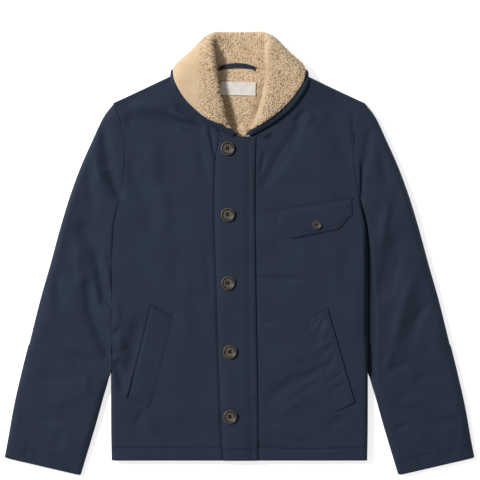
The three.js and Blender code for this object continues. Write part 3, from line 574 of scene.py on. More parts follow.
# Sleeves: one tube of lined twill each, set into the armhole and laid flat beside the body. The one
# beside the pocket stands a little off the body, so its lower layer shows in the gap; the other is
# pushed up against the body and creased by it. The cuffs are turned up and stitched once round.
ARMPIT_Y = 98
CUFF = 12  # the last station
STATION = 57  # millimetres from one station to the next
BESIDE_BODY = 8.2  # the sleeve lies beside the body up to this station
LEAVES_BODY = (8.1, 8.9)  # between these its inner edge comes out from beside the body
LEDGE_HEIGHT = 6  # of the lower layer, where it shows beside the body
SLEEVE = [
    (0, 220.8, 262.8, 0, 98, 20), (1, 239.4, 238.1, 0, 75, 21), (2, 258.1, 198.6, 0, 47, 22),
    (3, 279.1, 151.4, 0, 14, 22), (4, 298.4, 98.9, 0, -24, 22), (5, 315.9, 41.1, 0, -66, 21),
    (6, 332.5, -20.1, 0, -110, 21), (7, 350.0, -81.4, 0, -156, 20), (8, 366.6, -147.9, 0, -204, 19),
    (9, 380.6, -203.9, 238.5, -253, 18), (10, 394.6, -265.1, 251.5, -300, 17),
    (11, 405.4, -325.2, 268, -355, 15), (12, 411.6, -357.4, 278, -388.4, 13),
]
SLEEVE = [row if row[3] else (*row[:3], float(side_x(np.array(row[4]))) + 0.8, *row[4:]) for row in SLEEVE]
LEDGE = [(0, 7), (1, 11.5), (2, 12.5), (3, 13.5), (4, 16), (5, 18), (6, 17.5), (7, 16),
         (8, 12.5), (9, 7), (12, 7)]
SLEEVE_CREASES = [
    (-240, 12, -227, -72, 7, 2.2, 0), (-284, 10, -270, -60, 9, 1.4, 3), (-230, -79, -222, -94, 4, -1.8, 0),
    (-318, -30, -312, -94, 10, -1.2, 3), (-336, -60, -332, -130, 12, 0.9, -4),
    (-336, -184, -314, -198, 7, -0.6, 0), (-306, -176, -250, -190, 9, -0.7, 3),
    (-300, -158, -244, -174, 9, 0.7, 3), (-308, -312, -324, -344, 8, -0.6, 1),
    (-290, 120, -326, -20, 14, 1, 6), (-262, 150, -250, 70, 9, -1.3, 4), (-252, 176, -240, 118, 7, 1.3, 2),
    (-350, -210, -292, -226, 9, -0.9, 3), (-284, -248, -336, -262, 9, 0.9, -3),
    (-300, -288, -352, -296, 8, -0.8, 2), (-270, -210, -262, -250, 7, 1.1, 2),
    (304, -38, 268, -168, 10, 2, 3), (268, -168, 256, -204, 7, 1.1, 0), (326, -70, 292, -172, 11, -1.3, 4),
    (286, 6, 262, -76, 8, -1.2, 2), (333, -84, 306, -124, 7, -1.4, 1), (262, 90, 250, 14, 8, 1.3, 3),
    (284, 120, 300, 30, 12, 0.9, -4), (246, 190, 262, 110, 9, -1.1, 3), (340, -130, 352, -190, 10, 0.9, -2),
    (272, -305, 294, -300, 5, -1.3, 1), (300, -226, 350, -212, 9, -0.9, -3),
    (215, 162, 213, 84, 3.2, -2.6, 0), (278, -262, 330, -248, 8, 0.9, 2), (330, -300, 388, -286, 9, -0.9, 2),
    (256, -206, 300, -190, 6, -1, 0),
]
UNDER_CREASES = [
    (300, 20, 262, -40, 10, 1.5, 3), (330, -90, 280, -150, 12, 1.6, -4), (360, -200, 300, -238, 9, 1.2, 3),
    (270, 120, 244, 60, 9, 1.3, 2), (372, -290, 316, -310, 8, 1, 2), (-290, 60, -258, -6, 11, 1.6, 3),
    (-336, -60, -268, -98, 12, 1.7, 5), (-352, -168, -290, -176, 9, 1.2, -3),
    (-376, -250, -310, -276, 10, 1.1, 3), (-262, 170, -240, 110, 8, 1.1, 2),
]
TUCKED = 1.2  # the sleeve passes this far under the edge of the body
TOP_POINTS = 60
UNDER_POINTS = 28


def sleeve_place(side, s, across):
    pick = lambda column: through(SLEEVE, s, column)
    bow = (1 - smooth(s, 0, 4)) ** 1.5
    arm = mix(ARMPIT_Y, SHOULDER[1], across)
    straight = mix(float(side_x(np.array(ARMPIT_Y))), float(side_x(np.array(SHOULDER[1]))), across)
    y = mix(pick(4), pick(2), across)
    x = mix(pick(3), pick(1), across) + bow * (side_x(arm) - straight)
    x = np.where(s < BESIDE_BODY, np.maximum(x, side_x(y)), x)
    past = np.maximum(x - side_x(y), 0) * (1 - smooth(across, 0, 0.12))
    past = past * (1 - smooth(s, 7.6, BESIDE_BODY)) * (side < 0)
    return side * (x - past - TUCKED * (s < BESIDE_BODY)), y


def sleeve_sizes(side, s):
    """Width and height of the flattened tube, and how far its lower layer shows beside the body."""
    outer_x, outer_y, inner_x, inner_y, height = (through(SLEEVE, s, column) for column in range(1, 6))
    return np.hypot(outer_x - inner_x, outer_y - inner_y), height, through(LEDGE, s) if side > 0 else 0


def sleeve_face(side, s, across, below):
    """A point of the outer face, on its upper or its lower layer."""
    width, height, ledge = sleeve_sizes(side, s)
    x, y = sleeve_place(side, s, across)
    by_body = 1 - smooth(s, *LEAVES_BODY)
    from_body = across * width
    middle = height / 2
    thin = np.minimum(middle, LEDGE_HEIGHT)
    if side > 0:
        low = mix(middle, thin, by_body * (1 - smooth(from_body, ledge - 1, ledge + 4)))
        to_body = quarter(from_body - ledge + 3, 8)
    else:
        beside = 20 - 14 * hump(s - 0.5, 0.75)
        low = mix(middle, beside, by_body * (1 - smooth(from_body, 3, 30)))
        to_body = mix(quarter(from_body, 9), smooth(from_body, -5, 11), smooth(s, 1, 1.6))
    to_body = mix(quarter(from_body, 14), to_body, by_body)
    edge = np.minimum(to_body, quarter((1 - across) * width, 15))
    to_cuff = np.hypot(through(SLEEVE, s, 1) - SLEEVE[CUFF][1], through(SLEEVE, s, 2) - SLEEVE[CUFF][2])
    cuff = 1.1 * hump(to_cuff - HEM_DEPTH, 1.8)
    ripple = 0.5 * np.sin(across * 31 + 2 * np.sin(across * 9)) * np.exp(-np.abs(to_cuff - HEM_DEPTH) / 9)
    gathers = 0.45 * wobble(y, 3.1, 1.7, 11) * np.exp(-s * STATION / 9)
    relief = CREASE_DEPTH * (creases(x, y, SLEEVE_CREASES) - 0.8 * fold_depth(x, y))
    relief = relief + unevenness(x, y, 58, 0.5, 23)
    top = mix(low, height, edge) + (relief - cuff + ripple + gathers) * edge
    set_in = 1.7 * (1 - quarter(s * STATION, 3.5))
    if side > 0:
        set_in = set_in + 4 * (1 - quarter(s * STATION, 7)) * (1 - smooth(across, 0.12, 0.4))
    flat = np.minimum(quarter(from_body, 8), quarter((1 - across) * width, 8))
    foot = mix(middle, thin, by_body * (1 - smooth(across, 0.4, 0.6)))
    pressed = np.maximum(creases(x, y, UNDER_CREASES), 0) + cuff * 0.6
    bottom = foot * (1 - flat) + pressed * flat
    return raise_to(x, y, np.where(below, bottom, top - set_in * edge))


def sleeve_lining(side, s, across, below):
    width, height, ledge = sleeve_sizes(side, s)
    thickness = (height - HOLLOW) / 2
    inset = mix((thickness + ledge) / width, 1 - thickness / width, across)
    x, y = sleeve_place(side, s, inset)
    opened = np.minimum(quarter(across, 0.1), quarter(1 - across, 0.1))
    return raise_to(x, y, height / 2 + np.where(below, -1, 1) * (HOLLOW / 2) * opened)


ring = (1 - np.cos(np.linspace(0, math.pi, TOP_POINTS))) / 2
ring = mix(np.linspace(0, 1, TOP_POINTS), ring, 0.72)
lower_ring = (1 + np.cos(np.linspace(0, math.pi, UNDER_POINTS + 2)[1:-1])) / 2
ring_share = np.concatenate([ring, lower_ring])[None, :]
ring_below = np.concatenate([np.zeros(TOP_POINTS, bool), np.ones(UNDER_POINTS, bool)])[None, :]
tight = np.array([0, 0.006, 0.016, 0.03, 0.05, 0.08])
stations = np.concatenate([tight, np.linspace(0.12, 11.84, 206), CUFF - tight[::-1] * 1.4])
stations = np.delete(stations, 100)[:, None]  # an odd count, so that the inner face ends at the cuff


def sleeve(side, name):
    s = np.broadcast_to(stations, (len(stations), ring_share.shape[1]))
    across = np.broadcast_to(ring_share, s.shape)
    outer = sleeve_face(side, s, across, ring_below)
    inner = sleeve_lining(side, s, across, ring_below)
    outer, inner = soften(outer, inner, (CUFF - s) * 40, 4)
    lean = math.radians(16) * side
    uv = np.stack([outer[..., 0] * math.cos(lean) + outer[..., 1] * math.sin(lean),
                   outer[..., 1] * math.cos(lean) - outer[..., 0] * math.sin(lean)], -1)
    made = wall(name + "_cloth", outer, inner, uv, [NAVY, PILE], around=True,
                fields={"curl": np.full(s.shape, 0.5)})
    made.data.set_sharp_from_angle(angle=math.radians(55))
    dress(made, name)


sleeve(-1, "sleeve_right")
sleeve(1, "sleeve_left")

# Collar: a shawl of two layers, navy twill below and curly pile above, sewn to the neck and turned
# out over a roll. The twill is rolled over the edge of the pile and topstitched, which makes the
# narrow navy rim. The pile is trimmed flat along the roll and fluffy everywhere else.
COLLAR = [
    ((-5, 205.6, 19.6), (-6.4, 208.6, 23), (-8.6, 207.6, 24.2), (-10.6, 204.4, 23)),
    ((-25, 218.5, 19.2), (-24, 226, 28), (-30, 222.5, 30), (-36, 216.6, 23.6)),
    ((-46, 231, 19.2), (-32, 249, 34), (-49, 241, 35.5), (-62, 230.4, 23.4)),
    ((-66, 250.5, 19.6), (-38.5, 276, 38), (-64, 264, 38.5), (-84.5, 247.2, 24.6)),
    ((-83, 272, 24.5), (-43, 302, 41), (-78, 290, 41), (-105, 268.4, 29)),
    ((-95, 295, 27.5), (-47, 328, 42), (-90, 318, 40), (-118, 294, 31.5)),
    ((-99.5, 319, 21.5), (-50, 352, 39), (-91.5, 336, 31), (-118.5, 316.5, 19)),
    ((-86, 322.6, 15), (-51, 372, 28), (-78.5, 351, 17), (-102, 314, 8.3)),
    ((-62, 322, 11), (-42, 380, 20), (-62, 364, 9.4), (-74, 304, 8.3)),
    ((-32, 321.7, 10.4), (-20, 381.1, 13.6), (-31, 362, 8.3), (-36, 300, 8.3)),
    ((0, 321.7, 10.4), (0, 381.1, 12), (0, 361, 8.3), (0, 300, 8.3)),
]
COLLAR_FRONT = [(0.3, 7, 7, 0), (0.65, 4.5, 3, 1.5), (1, 7.5, 0, 4.5), (1, 8, 0, 6), (1, 6.5, -1.5, 5.5),
                (1, 3, 0, 4), (1, 0, 0, 2)]
COLLAR_SHELL = 1
COLLAR_PILE = 6
COLLAR_FOLD = 3
SEAM = 0.3  # room between two layers that are sewn together
RIM_WIDTH = [(0, 12), (0.04, 12), (0.07, 13.5), (0.1, 12.5), (0.15, 11.3), (0.2, 10.4), (0.26, 9), (0.72, 9),
             (0.77, 9.5), (0.81, 10.5), (0.86, 11), (0.91, 10.3), (0.95, 9.5), (1, 11)]
RIM_HEIGHT = 2.2
COLLAR_END = 6  # seven points lead from the seam over the roll to the rim, 0 to 6


def spline(points, t):
    """Centripetal curve through points; points is (rows, count, 3) and t is (rows, steps) in 0 to 1."""
    count = points.shape[1]
    first = 2 * points[:, :1] - points[:, 1:2]
    last = 2 * points[:, -1:] - points[:, -2:-1]
    padded = np.concatenate([first, points, last], axis=1)
    place = t * (count - 1)
    i = np.clip(place.astype(int), 0, count - 2)
    w = (place - i)[..., None]
    row = np.arange(points.shape[0])[:, None]
    p0, p1, p2, p3 = (padded[row, i + k] for k in range(4))
    gap = lambda a, b: np.maximum(np.sum((a - b) ** 2, -1, keepdims=True) ** 0.25, 1e-6)
    d0, d1, d2 = gap(p0, p1), gap(p1, p2), gap(p2, p3)
    leave = ((p1 - p0) / d0 - (p2 - p0) / (d0 + d1) + (p2 - p1) / d1) * d1
    arrive = ((p2 - p1) / d1 - (p3 - p1) / (d1 + d2) + (p3 - p2) / d2) * d1
    curve = p1 + leave * w + (3 * (p2 - p1) - 2 * leave - arrive) * w**2
    return curve + (2 * (p1 - p2) + leave + arrive) * w**3


def collar_guides():
    front = COLLAR_FRONT + [(1, 0, 0, 0)] * (len(COLLAR) - len(COLLAR_FRONT))
    half = np.array(COLLAR, float)
    drift = np.array([(roll, roll, (roll + rim) / 2, rim) for _, roll, rim, _ in front])
    sink = np.array([(0, lower, 1.5 * lower, 0) for _, _, _, lower in front])
    other = half[:-1][::-1].copy()
    other[..., 0] = drift[:-1][::-1] - other[..., 0]
    other[..., 2] -= sink[:-1][::-1]
    pile = [p for p, _, _, _ in front]
    pile = np.array(pile + pile[:-1][::-1])
    return np.concatenate([half, other]), pile


GUIDES, PILE_SHARE = collar_guides()


def lengths(lines):
    """Length reached at each point of each line."""
    return np.cumsum(np.linalg.norm(np.diff(lines, axis=1, prepend=lines[:, :1]), axis=-1), axis=1)


def collar_surface(sections, steps, pile_only=0.0):
    """Middle face of the collar and its normals, from the neck seam over the roll to its rim or bead."""
    t = np.linspace(0, 1, sections)[None, :]
    seam, roll, leaf, rim = (spline(GUIDES[None, :, k], t)[0] for k in range(4))
    unit = lambda v: v / np.linalg.norm(v, axis=-1, keepdims=True)
    out = unit(roll - (seam + leaf) / 2)
    apart = leaf - seam
    apart = unit(apart - out * np.sum(apart * out, -1, keepdims=True))
    fold = COLLAR_FOLD * mix(0.25, 1, smooth(np.minimum(t[0], 1 - t[0]), 0, 0.05))[:, None]
    base = roll - fold * out
    fold_in, fold_out = base - fold * apart, base + fold * apart
    controls = np.stack([seam, mix(seam, fold_in, 0.55), fold_in, roll, fold_out, leaf, rim], axis=1)
    every = np.broadcast_to(np.linspace(0, COLLAR_END, 121), (sections, 121))
    dense = spline(controls, every / COLLAR_END)
    length = lengths(dense)
    reach = mix(0.9, 3.0, smooth(np.minimum(t[0], 1 - t[0]), 0.028, 0.056))
    rims = np.interp(t[0], *np.array(RIM_WIDTH).T)
    bare = COLLAR_END - np.array([max(np.interp(row[-1] - wide, row, every[0]), k)
                         for row, wide, k in zip(length, rims, reach)])
    fine = np.linspace(0, 1, 90)[None, :] * (COLLAR_END - pile_only * bare[:, None])
    dense = spline(controls, fine / COLLAR_END)
    length = lengths(dense)
    even = np.stack([np.interp(steps * row[-1], row, s) for row, s in zip(length, fine)])
    points = spline(controls, even / COLLAR_END)
    along = np.gradient(points, axis=0)
    across = np.gradient(points, axis=1)
    normal = unit(np.cross(along, across))
    thickness = through([(k, p) for k, p in enumerate(PILE_SHARE)], t[0] * (len(PILE_SHARE) - 1))
    to_edge = (COLLAR_END - even) / bare[:, None]
    run = np.cumsum(np.linalg.norm(np.gradient(points[:, steps.size // 2], axis=0), axis=-1))
    uv = np.stack([np.broadcast_to(run[:, None], even.shape), steps[None, :] * length[:, -1:]], -1)
    return points, normal, thickness[:, None], even, to_edge, uv


points, normal, thickness, _, to_edge, uv = collar_surface(331, np.linspace(0, 1, 61) ** 0.8)
bead = np.interp(to_edge, [0, 0.04, 0.1, 0.2, 0.4, 0.65, 0.84, 0.94, 1.02],
                 [0, 0.5, 0.8, 0.95, 1, 0.97, 0.8, 0.4, 0])
pulled = 0.3 * wobble(uv[..., 0], 2.3, 1.6, 17) * bead
height = COLLAR_SHELL + (RIM_HEIGHT * bead + pulled) * thickness
outer = points + normal * height[..., None]
inner = points - normal * COLLAR_SHELL
collar_shell = wall("collar_shell_cloth", outer, inner, uv, [NAVY])
dress(collar_shell, "collar_shell")


def curls(points, size, seed):
    """Height of the curls of the pile, 0 between them and 1 on top, for each point."""
    flat = points.reshape(-1, 3)
    rng = np.random.default_rng(seed)
    shift = rng.uniform(0, 50, 3)
    height = np.empty(len(flat))
    for k, point in enumerate((flat / size + shift).tolist()):
        near_cells = noise.voronoi(point)[0]
        fine_cell = noise.voronoi((point[0] * 2.1, point[1] * 2.1, point[2] * 2.1))[0][0]
        between = min((near_cells[1] - near_cells[0]) / 0.4, 1)
        height[k] = 0.55 * between - 0.45 * near_cells[0] ** 1.5 - 0.12 * fine_cell
    height = height.reshape(points.shape[:-1])
    return np.clip((height - height.min()) / (np.percentile(height, 99) - height.min()), 0, 1)


points, normal, thickness, even, to_edge, uv = collar_surface(681, np.linspace(0, 1, 95), 1.06)
full = np.interp(even, [0, 0.5, 1.1], [0.6, 0.85, 1])
full = full * np.interp(to_edge, [1.06, 1.25, 1.6, 2.2], [0.6, 0.8, 0.95, 1])
curl = curls(points, 3, 4)
flat = hump(even - 3.25, 0.45) * smooth(points[..., 0], 20, 34)
flat = np.maximum(flat, smooth(-points[..., 0], 58, 74) * smooth(points[..., 1], 238, 262) * (even > 3))
tips = np.linspace(0, 1, 681)[:, None]
full = full * mix(0.3, 1, smooth(np.minimum(tips, 1 - tips), 0.005, 0.055))
depth = 2.2 * (1 - 0.85 * flat) * np.minimum(thickness, 1) * full
behind = (1 - smooth(np.abs(points[..., 0]), 46, 70)) * (1 - smooth(even, 0, 1.4)) * (points[..., 2] < 20)
loft = COLLAR_PILE * thickness * full * (1 + 0.6 * behind) + (curl - 0.72) * depth
outer = points + normal * (COLLAR_SHELL + SEAM + np.maximum(loft, 0.4))[..., None]
inner = points + normal * (COLLAR_SHELL + SEAM)
# The curl heights go to the pile's colour as painted shade between the curls and painted highlight on their
# tops, held at a middle tone where the pile is trimmed flat.
curl_painted_light = mix(curl, 0.57, flat * 0.85)
collar_pile = wall("collar_pile_fleece", outer, inner, uv, [PILE], fields={"curl": curl_painted_light})
dress(collar_pile, "collar_pile")

# Back lining: the same curly pile inside the body, thickest where the open neck shows it. Its upper
# edge is caught in the collar seam, and it runs down behind the fronts.
LINING_FOOT_Y = 170
LINING_GAP = 0.8
LINING_LOFT = 6
LABEL_CENTRE = (-2.5, 287.5)
LABEL_LENGTH = 62
LABEL_WIDTH = 23
LABEL_THICKNESS = 0.8
LABEL_TILT = -0.03
rows_up = np.linspace(0, 1, 113)[:, None]
columns = np.linspace(-1, 1, 117)[None, :]
y = mix(LINING_FOOT_Y, BACK_NECK_Y + 1.2, rows_up)
half_width = mix(88, 78, rows_up**3)
opening = mix(18, 46, smooth(y, 200, 300))
x = columns * half_width
y = y - 4 * columns**2 * rows_up
in_neck = 1 - smooth(np.abs(x), opening * 0.6, opening)
loft = mix(2.1, LINING_LOFT, in_neck * smooth(y, 224, 246) * (1 - 0.8 * smooth(y, 292, 321)))
inner = raise_to(x, y, back_top(x, y) + LINING_GAP)
curl = curls(inner, 3, 9)
under_label = smooth(33 - np.abs(x - LABEL_CENTRE[0]), 0, 3)
under_label = under_label * smooth(13 - np.abs(y - LABEL_CENTRE[1]), 0, 3)
outer = inner + raise_to(x * 0, y * 0, loft + (curl - 0.8) * 2.4 * in_neck * (0.35 + 0.65 * (1 - under_label)))
# The curl heights also colour the lining: painted shade between the curls, painted highlight on their tops.
back_lining = wall("back_lining_fleece", outer, inner, inner[..., :2], [PILE], fields={"curl": curl})
dress(back_lining, "back_lining")

# Placket: the strip that carries the buttons, doubled twill with a raised welt stitched along the
# edge away from the buttons. It lies on the fronts and is pulled a little at each button.
PLACKET_TOP_Y = 204.4
STRIP_GAP = 0.1
BUTTONS = [("button_1", -20.7, 183.2), ("button_2", -20.5, 67.7), ("button_3", -20.1, -51.6),
           ("button_4", -16.8, -171.5), ("button_5", -16.3, -284.7)]


def strip(name, x, y, height, node):
    """A strip of cloth that lies on the fronts."""
    under = front_top(x, y) + STRIP_GAP
    outer = raise_to(x, y, under + np.maximum(height, 0.3))
    inner = raise_to(x, y, under)
    return dress(wall(name, outer, inner, outer[..., :2], [NAVY]), node)


def placket_lines(y):
    return through(PLACKET_EDGES, y, 1), through(PLACKET_EDGES, y, 2)


def placket_relief(x, y):
    left, right = placket_lines(y)
    ridge = right - 9
    up = 0.7 * smooth(x, ridge - 0.9, ridge + 0.9)
    lines = hump(x - ridge + 2.2, 0.9)
    lines += hump(x - ridge - 2.1, 0.8) + hump(x - right + 2.1, 0.8)
    top_lines = hump(y - PLACKET_TOP_Y + 3, 0.9) + hump(y - PLACKET_TOP_Y + 9, 0.9)
    pull = 0.22 * wobble(y, 3.7, 1.9, 13) * np.exp(-np.abs(x - ridge) / 6)
    pull += 0.18 * wobble(y, 4.6, 1.5, 9) * np.exp(-np.abs(x - left) / 6)
    drag = np.zeros_like(x)
    for _, bx, by in BUTTONS:
        drag -= 0.8 * hump(y - by - 1, 4) * smooth(x, bx + 8, bx + 14) * (1 - smooth(x, ridge - 6, ridge))
        drag += 0.5 * hump(y - by + 9, 6) * hump(x - bx, 16)
    return up - 0.55 * lines - 0.5 * top_lines + pull + drag


def placket_height(x, y):
    """Height of the placket's face over the fronts: full under the buttons and thin at its edges."""
    left, right = placket_lines(y)
    full = 0.6 + 2.4 * smooth(x - left, -4, 14) - 1.4 * smooth(x, right - 24, right - 11)
    return full + placket_relief(x, y)


rows = spread(HEM_Y, PLACKET_TOP_Y, 2.4, True, True)[:, None]
left, right = placket_lines(rows)
across = np.concatenate([[0, 0.006, 0.016, 0.03, 0.05], np.linspace(0.075, 0.94, 38),
                         [0.955, 0.97, 0.984, 0.994, 1]])
across = np.delete(across, 20)[None, :]  # the inner face takes every second one, so the count is odd
x = mix(left, right, across)
y = np.broadcast_to(rows, x.shape)
edge = np.minimum(quarter(y - HEM_Y, 2.5), quarter(PLACKET_TOP_Y - y, 2.5))
edge = np.minimum(quarter(right - x, 1.6), edge)
placket = strip("placket_strip", x, y, placket_height(x, y) * mix(0.3, 1, edge), "placket")

# Chest pocket flap: doubled twill with both lower corners cut off, stitched twice round its edge and
# tacked at both ends of its seam.
FLAP = (*FLAP_LINE[0], *FLAP_LINE[1])
FLAP_LENGTH = 131
FLAP_DROP = [(0, 12), (0.05, 34), (0.2, 52), (0.83, 49.5), (1, 27)]
FLAP_THICKNESS = 3
FLAP_ROWS = (2.2, 7.5)  # stitches from the edge


def flap_drop(share):
    return np.interp(share, [s for s, _ in FLAP_DROP], [d for _, d in FLAP_DROP])


share = spread(0, FLAP_LENGTH, 1.9, True, True)[:, None] / FLAP_LENGTH
down = np.linspace(0, 1, 33)[None, :] ** 0.92
x = mix(FLAP[0], FLAP[2], share) + 0 * down
y = mix(FLAP[1], FLAP[3], share) - flap_drop(share) * down
rim_line = [tuple(p) for p in np.stack([np.concatenate([x[:1, 0], x[::6, -1], x[-1:, 0]]),
                                        np.concatenate([y[:1, 0], y[::6, -1], y[-1:, 0]])], -1)]
to_rim, along = near(x, y, rim_line)
to_seam, _ = near(x, y, FLAP_LINE)
edge = np.minimum(quarter(to_rim, 1.4) * mix(0.6, 1, smooth(to_rim, 0, 12)),
                  mix(0.25, 1, smooth(to_seam, 0, 8)))
relief = -0.5 * hump(to_rim - FLAP_ROWS[0], 0.8) - 0.2 * hump(to_rim - FLAP_ROWS[1], 0.8)
relief += 0.22 * wobble(along, 3.4, 1.8, 12) * np.exp(-np.abs(to_rim - 4) / 4)
relief += 0.5 * np.exp(-(((y - 50) / 9) ** 2 + ((x - 135) / 30) ** 2)) + unevenness(x, y, 30, 0.2, 61)
pocket_flap = strip("pocket_flap_cloth", x, y, (FLAP_THICKNESS + relief) * mix(0.2, 1, edge), "pocket_flap")

# Hand pocket welts: slanted doubled strips. The outer long edge is free and is the mouth; the other
# three are stitched down, and the one beside the chest pocket is puckered by its stitches.
WELT_THICKNESS = 2.6
WELT_LENGTH = 167
WELT_WIDTH = 40
WELT_ROWS = (5.5, 2.4, 2.6)  # stitches from the mouth, the inner edge and the ends
PUCKERS = [
    (149, -113, 134, -146, 3.2, -1.5, 1), (140, -110, 127, -132, 2.6, -1.1, 0),
    (158, -120, 143, -156, 3, 0.8, 1), (164, -163, 139, -177, 3, -1.5, 1),
    (160, -152, 136, -166, 2.8, 0.9, 0), (167, -177, 149, -199, 3, -1.4, -1),
    (176, -193, 152, -214, 3, 0.8, 1), (180, -206, 160, -222, 2.6, -1.2, 0),
    (186, -228, 163, -238, 2.6, -0.8, 1), (-150, -168, -138, -173, 2.6, -1.3, 0),
    (-150, -196, -135, -206, 2.8, -0.8, 0), (-154, -222, -139, -218, 2.4, -1.2, 0),
    (-160, -236, -146, -244, 2.6, -0.9, 0), (-134, -126, -126, -148, 3, -0.6, 1),
]


def welt_height(across):
    return WELT_THICKNESS * mix(0.12, 1, 1 - 0.92 * smooth(across, 0.1, 1))


def on_strip(mouth, inside, down, across):
    """A place between the mouth of a pocket and the inner edge of its welt."""
    line = lambda ends, k: mix(ends[0][k], ends[1][k], down)
    return [mix(line(mouth, k), line(inside, k), across) for k in (0, 1)]


def welt(name, mouth, inside):
    down = spread(0, WELT_LENGTH, 1.7, True, True)[:, None] / WELT_LENGTH
    across = spread(0, WELT_WIDTH, 1.25, True, True)[None, :] / WELT_WIDTH
    x, y = on_strip(mouth, inside, down, across)
    below, above = down * WELT_LENGTH, (1 - down) * WELT_LENGTH
    ends = np.minimum(quarter(below, 2.2), quarter(above, 2.2))
    edge = mix(0.25, 1, np.minimum(ends, quarter(across * WELT_WIDTH, 1.2)))
    mouth_row, inner_row, end_row = WELT_ROWS
    lines = hump(across * WELT_WIDTH - mouth_row, 0.8) * 0.8
    lines = lines + hump((1 - across) * WELT_WIDTH - inner_row, 0.8)
    end_lines = hump(below - end_row, 0.8) + hump(above - end_row, 0.8)
    relief = CREASE_DEPTH * 0.6 * creases(x, y, PUCKERS) - 0.3 * lines - 0.3 * end_lines
    made = strip(name + "_cloth", x, y, welt_height(across) * edge + relief * ends, name)


for name, lines in WELTS.items():
    welt(name, *lines)

# Buttons: turned, four holes, a raised rim round a dished face, in mottled brown-grey horn. Each is
# sewn through the cloth with navy thread, which shows between its holes.
BUTTON = (12, 4.2, 1.1, 2.1)
POCKET_BUTTON = (8, 3.4, 0.8, 1.5)
horn = Finish("horn_button", Coat_Weight=0.2, Coat_Roughness=0.3, Specular_IOR_Level=0.4)
streak = horn.node("Mapping", sockets={"Vector": horn.body(), "Rotation": (0.3, 0.2, 0.6),
                                       "Scale": (260.0, 60.0, 60.0)})
grain = horn.noise(streak, 1.0, 4.0, Distortion=0.8)
# The field called rim paints light by shape onto the horn: lighter on the raised ring as painted highlight,
# darker in the groove inside it and at the outer edge as painted shade; grain gives the horn's own mottling.
rim = horn.node("Attribute", {"attribute_name": "rim"}, output=2)
mottled = horn.node("ValToRGB", {"stops": [(0.2, colour(26, 22, 20)), (0.5, colour(62, 54, 47)),
                                           (0.85, colour(132, 120, 105))]}, {"Fac": grain * 0.4 + rim * 0.45})
scratch = horn.noise(horn.body(), 1800.0, 2.0)
horn.feed(Base_Color=mottled, Roughness=scratch * 0.2 + 0.28, Normal=horn.bump(scratch, 0.25, 0.00012))
HORN = horn.material


def spun(name, deep, light):
    thread = Finish(name, Sheen_Weight=0.05, Specular_IOR_Level=0.1)
    twist = thread.noise(thread.body(), 3200.0, 2.0)
    thread.feed(Base_Color=thread.tint(twist, deep, light), Roughness=twist * 0.2 + 0.6,
                Normal=thread.bump(twist, 0.4, 0.0001))
    return thread.material


# Near-black navy, darker than the cloth, so that each row paints the shade of its seam's groove as well as
# showing the thread.
THREAD_WITH_PAINTED_SHADE = spun("navy_thread_with_painted_shade", colour(8, 13, 24), colour(20, 28, 42))
MATCHED_THREAD = spun("navy_thread", colour(24, 33, 48), colour(36, 46, 62))
PROFILE = [(0, 0), (0.7, 0), (0.86, 0.07), (0.96, 0.28), (1, 0.5), (0.99, 0.74), (0.955, 0.93), (0.9, 1),
           (0.84, 0.98), (0.79, 0.88), (0.745, 0.72), (0.7, 0.64), (0.64, 0.6), (0.4, 0.565), (0, 0.55)]
ROUND = 48


def plain_mesh(name, points, faces, finish, fields=None):
    mesh = bpy.data.meshes.new(name)
    mesh.from_pydata((np.asarray(points) * MM).tolist(), [], faces)
    mesh.polygons.foreach_set("use_smooth", np.ones(len(mesh.polygons), bool))
    for field, values in (fields or {}).items():
        mesh.attributes.new(field, "FLOAT", "POINT").data.foreach_set("value", np.asarray(values, float))
    mesh.materials.append(finish)
    return placed(name, mesh)


def turned(name, x, y, z, radius, height):
    points, faces, rim_painted_light_shade = [], [], []
    for k, (r, h) in enumerate(PROFILE):
        count = 1 if r == 0 else ROUND
        for j in range(count):
            angle = math.tau * j / ROUND
            points.append((x + r * radius * math.cos(angle), y + r * radius * math.sin(angle),
                           z + h * height))
            # Painted light by shape: 1 on the raised ring (painted highlight), 0 in the groove and at the
            # outer edge (painted shade), 0.8 on the dished face.
            rim_painted_light_shade.append(1.0 if 0.85 < r < 0.97 else 0.8 if r < 0.66 else 0.0)
    ring = lambda k: 1 + (k - 1) * ROUND
    last = len(points) - 1
    for j in range(ROUND):
        n = (j + 1) % ROUND
        faces.append((0, ring(1) + n, ring(1) + j))
        for k in range(1, len(PROFILE) - 2):
            faces.append((ring(k) + j, ring(k) + n, ring(k + 1) + n, ring(k + 1) + j))
        faces.append((last, ring(len(PROFILE) - 2) + j, ring(len(PROFILE) - 2) + n))
    return plain_mesh(name, points, faces, HORN, {"rim": rim_painted_light_shade})


def drills(x, y, z, hole, apart):
    """Four round cutters, as one mesh."""
    points, faces = [], []
    for sx, sy in ((1, 1), (1, -1), (-1, 1), (-1, -1)):
        start = len(points)
        for level in (-5, 12):
            for j in range(14):
                angle = math.tau * j / 14
                points.append((x + sx * apart / math.sqrt(2) + hole * math.cos(angle),
                               y + sy * apart / math.sqrt(2) + hole * math.sin(angle), z + level))
        faces.append(tuple(start + 13 - j for j in range(14)))
        faces.append(tuple(start + 14 + j for j in range(14)))
        for j in range(14):
            n = (j + 1) % 14
            faces.append((start + j, start + n, start + 14 + n, start + 14 + j))
    return plain_mesh("drills", points, faces, HORN, {"rim": np.zeros(len(points))})


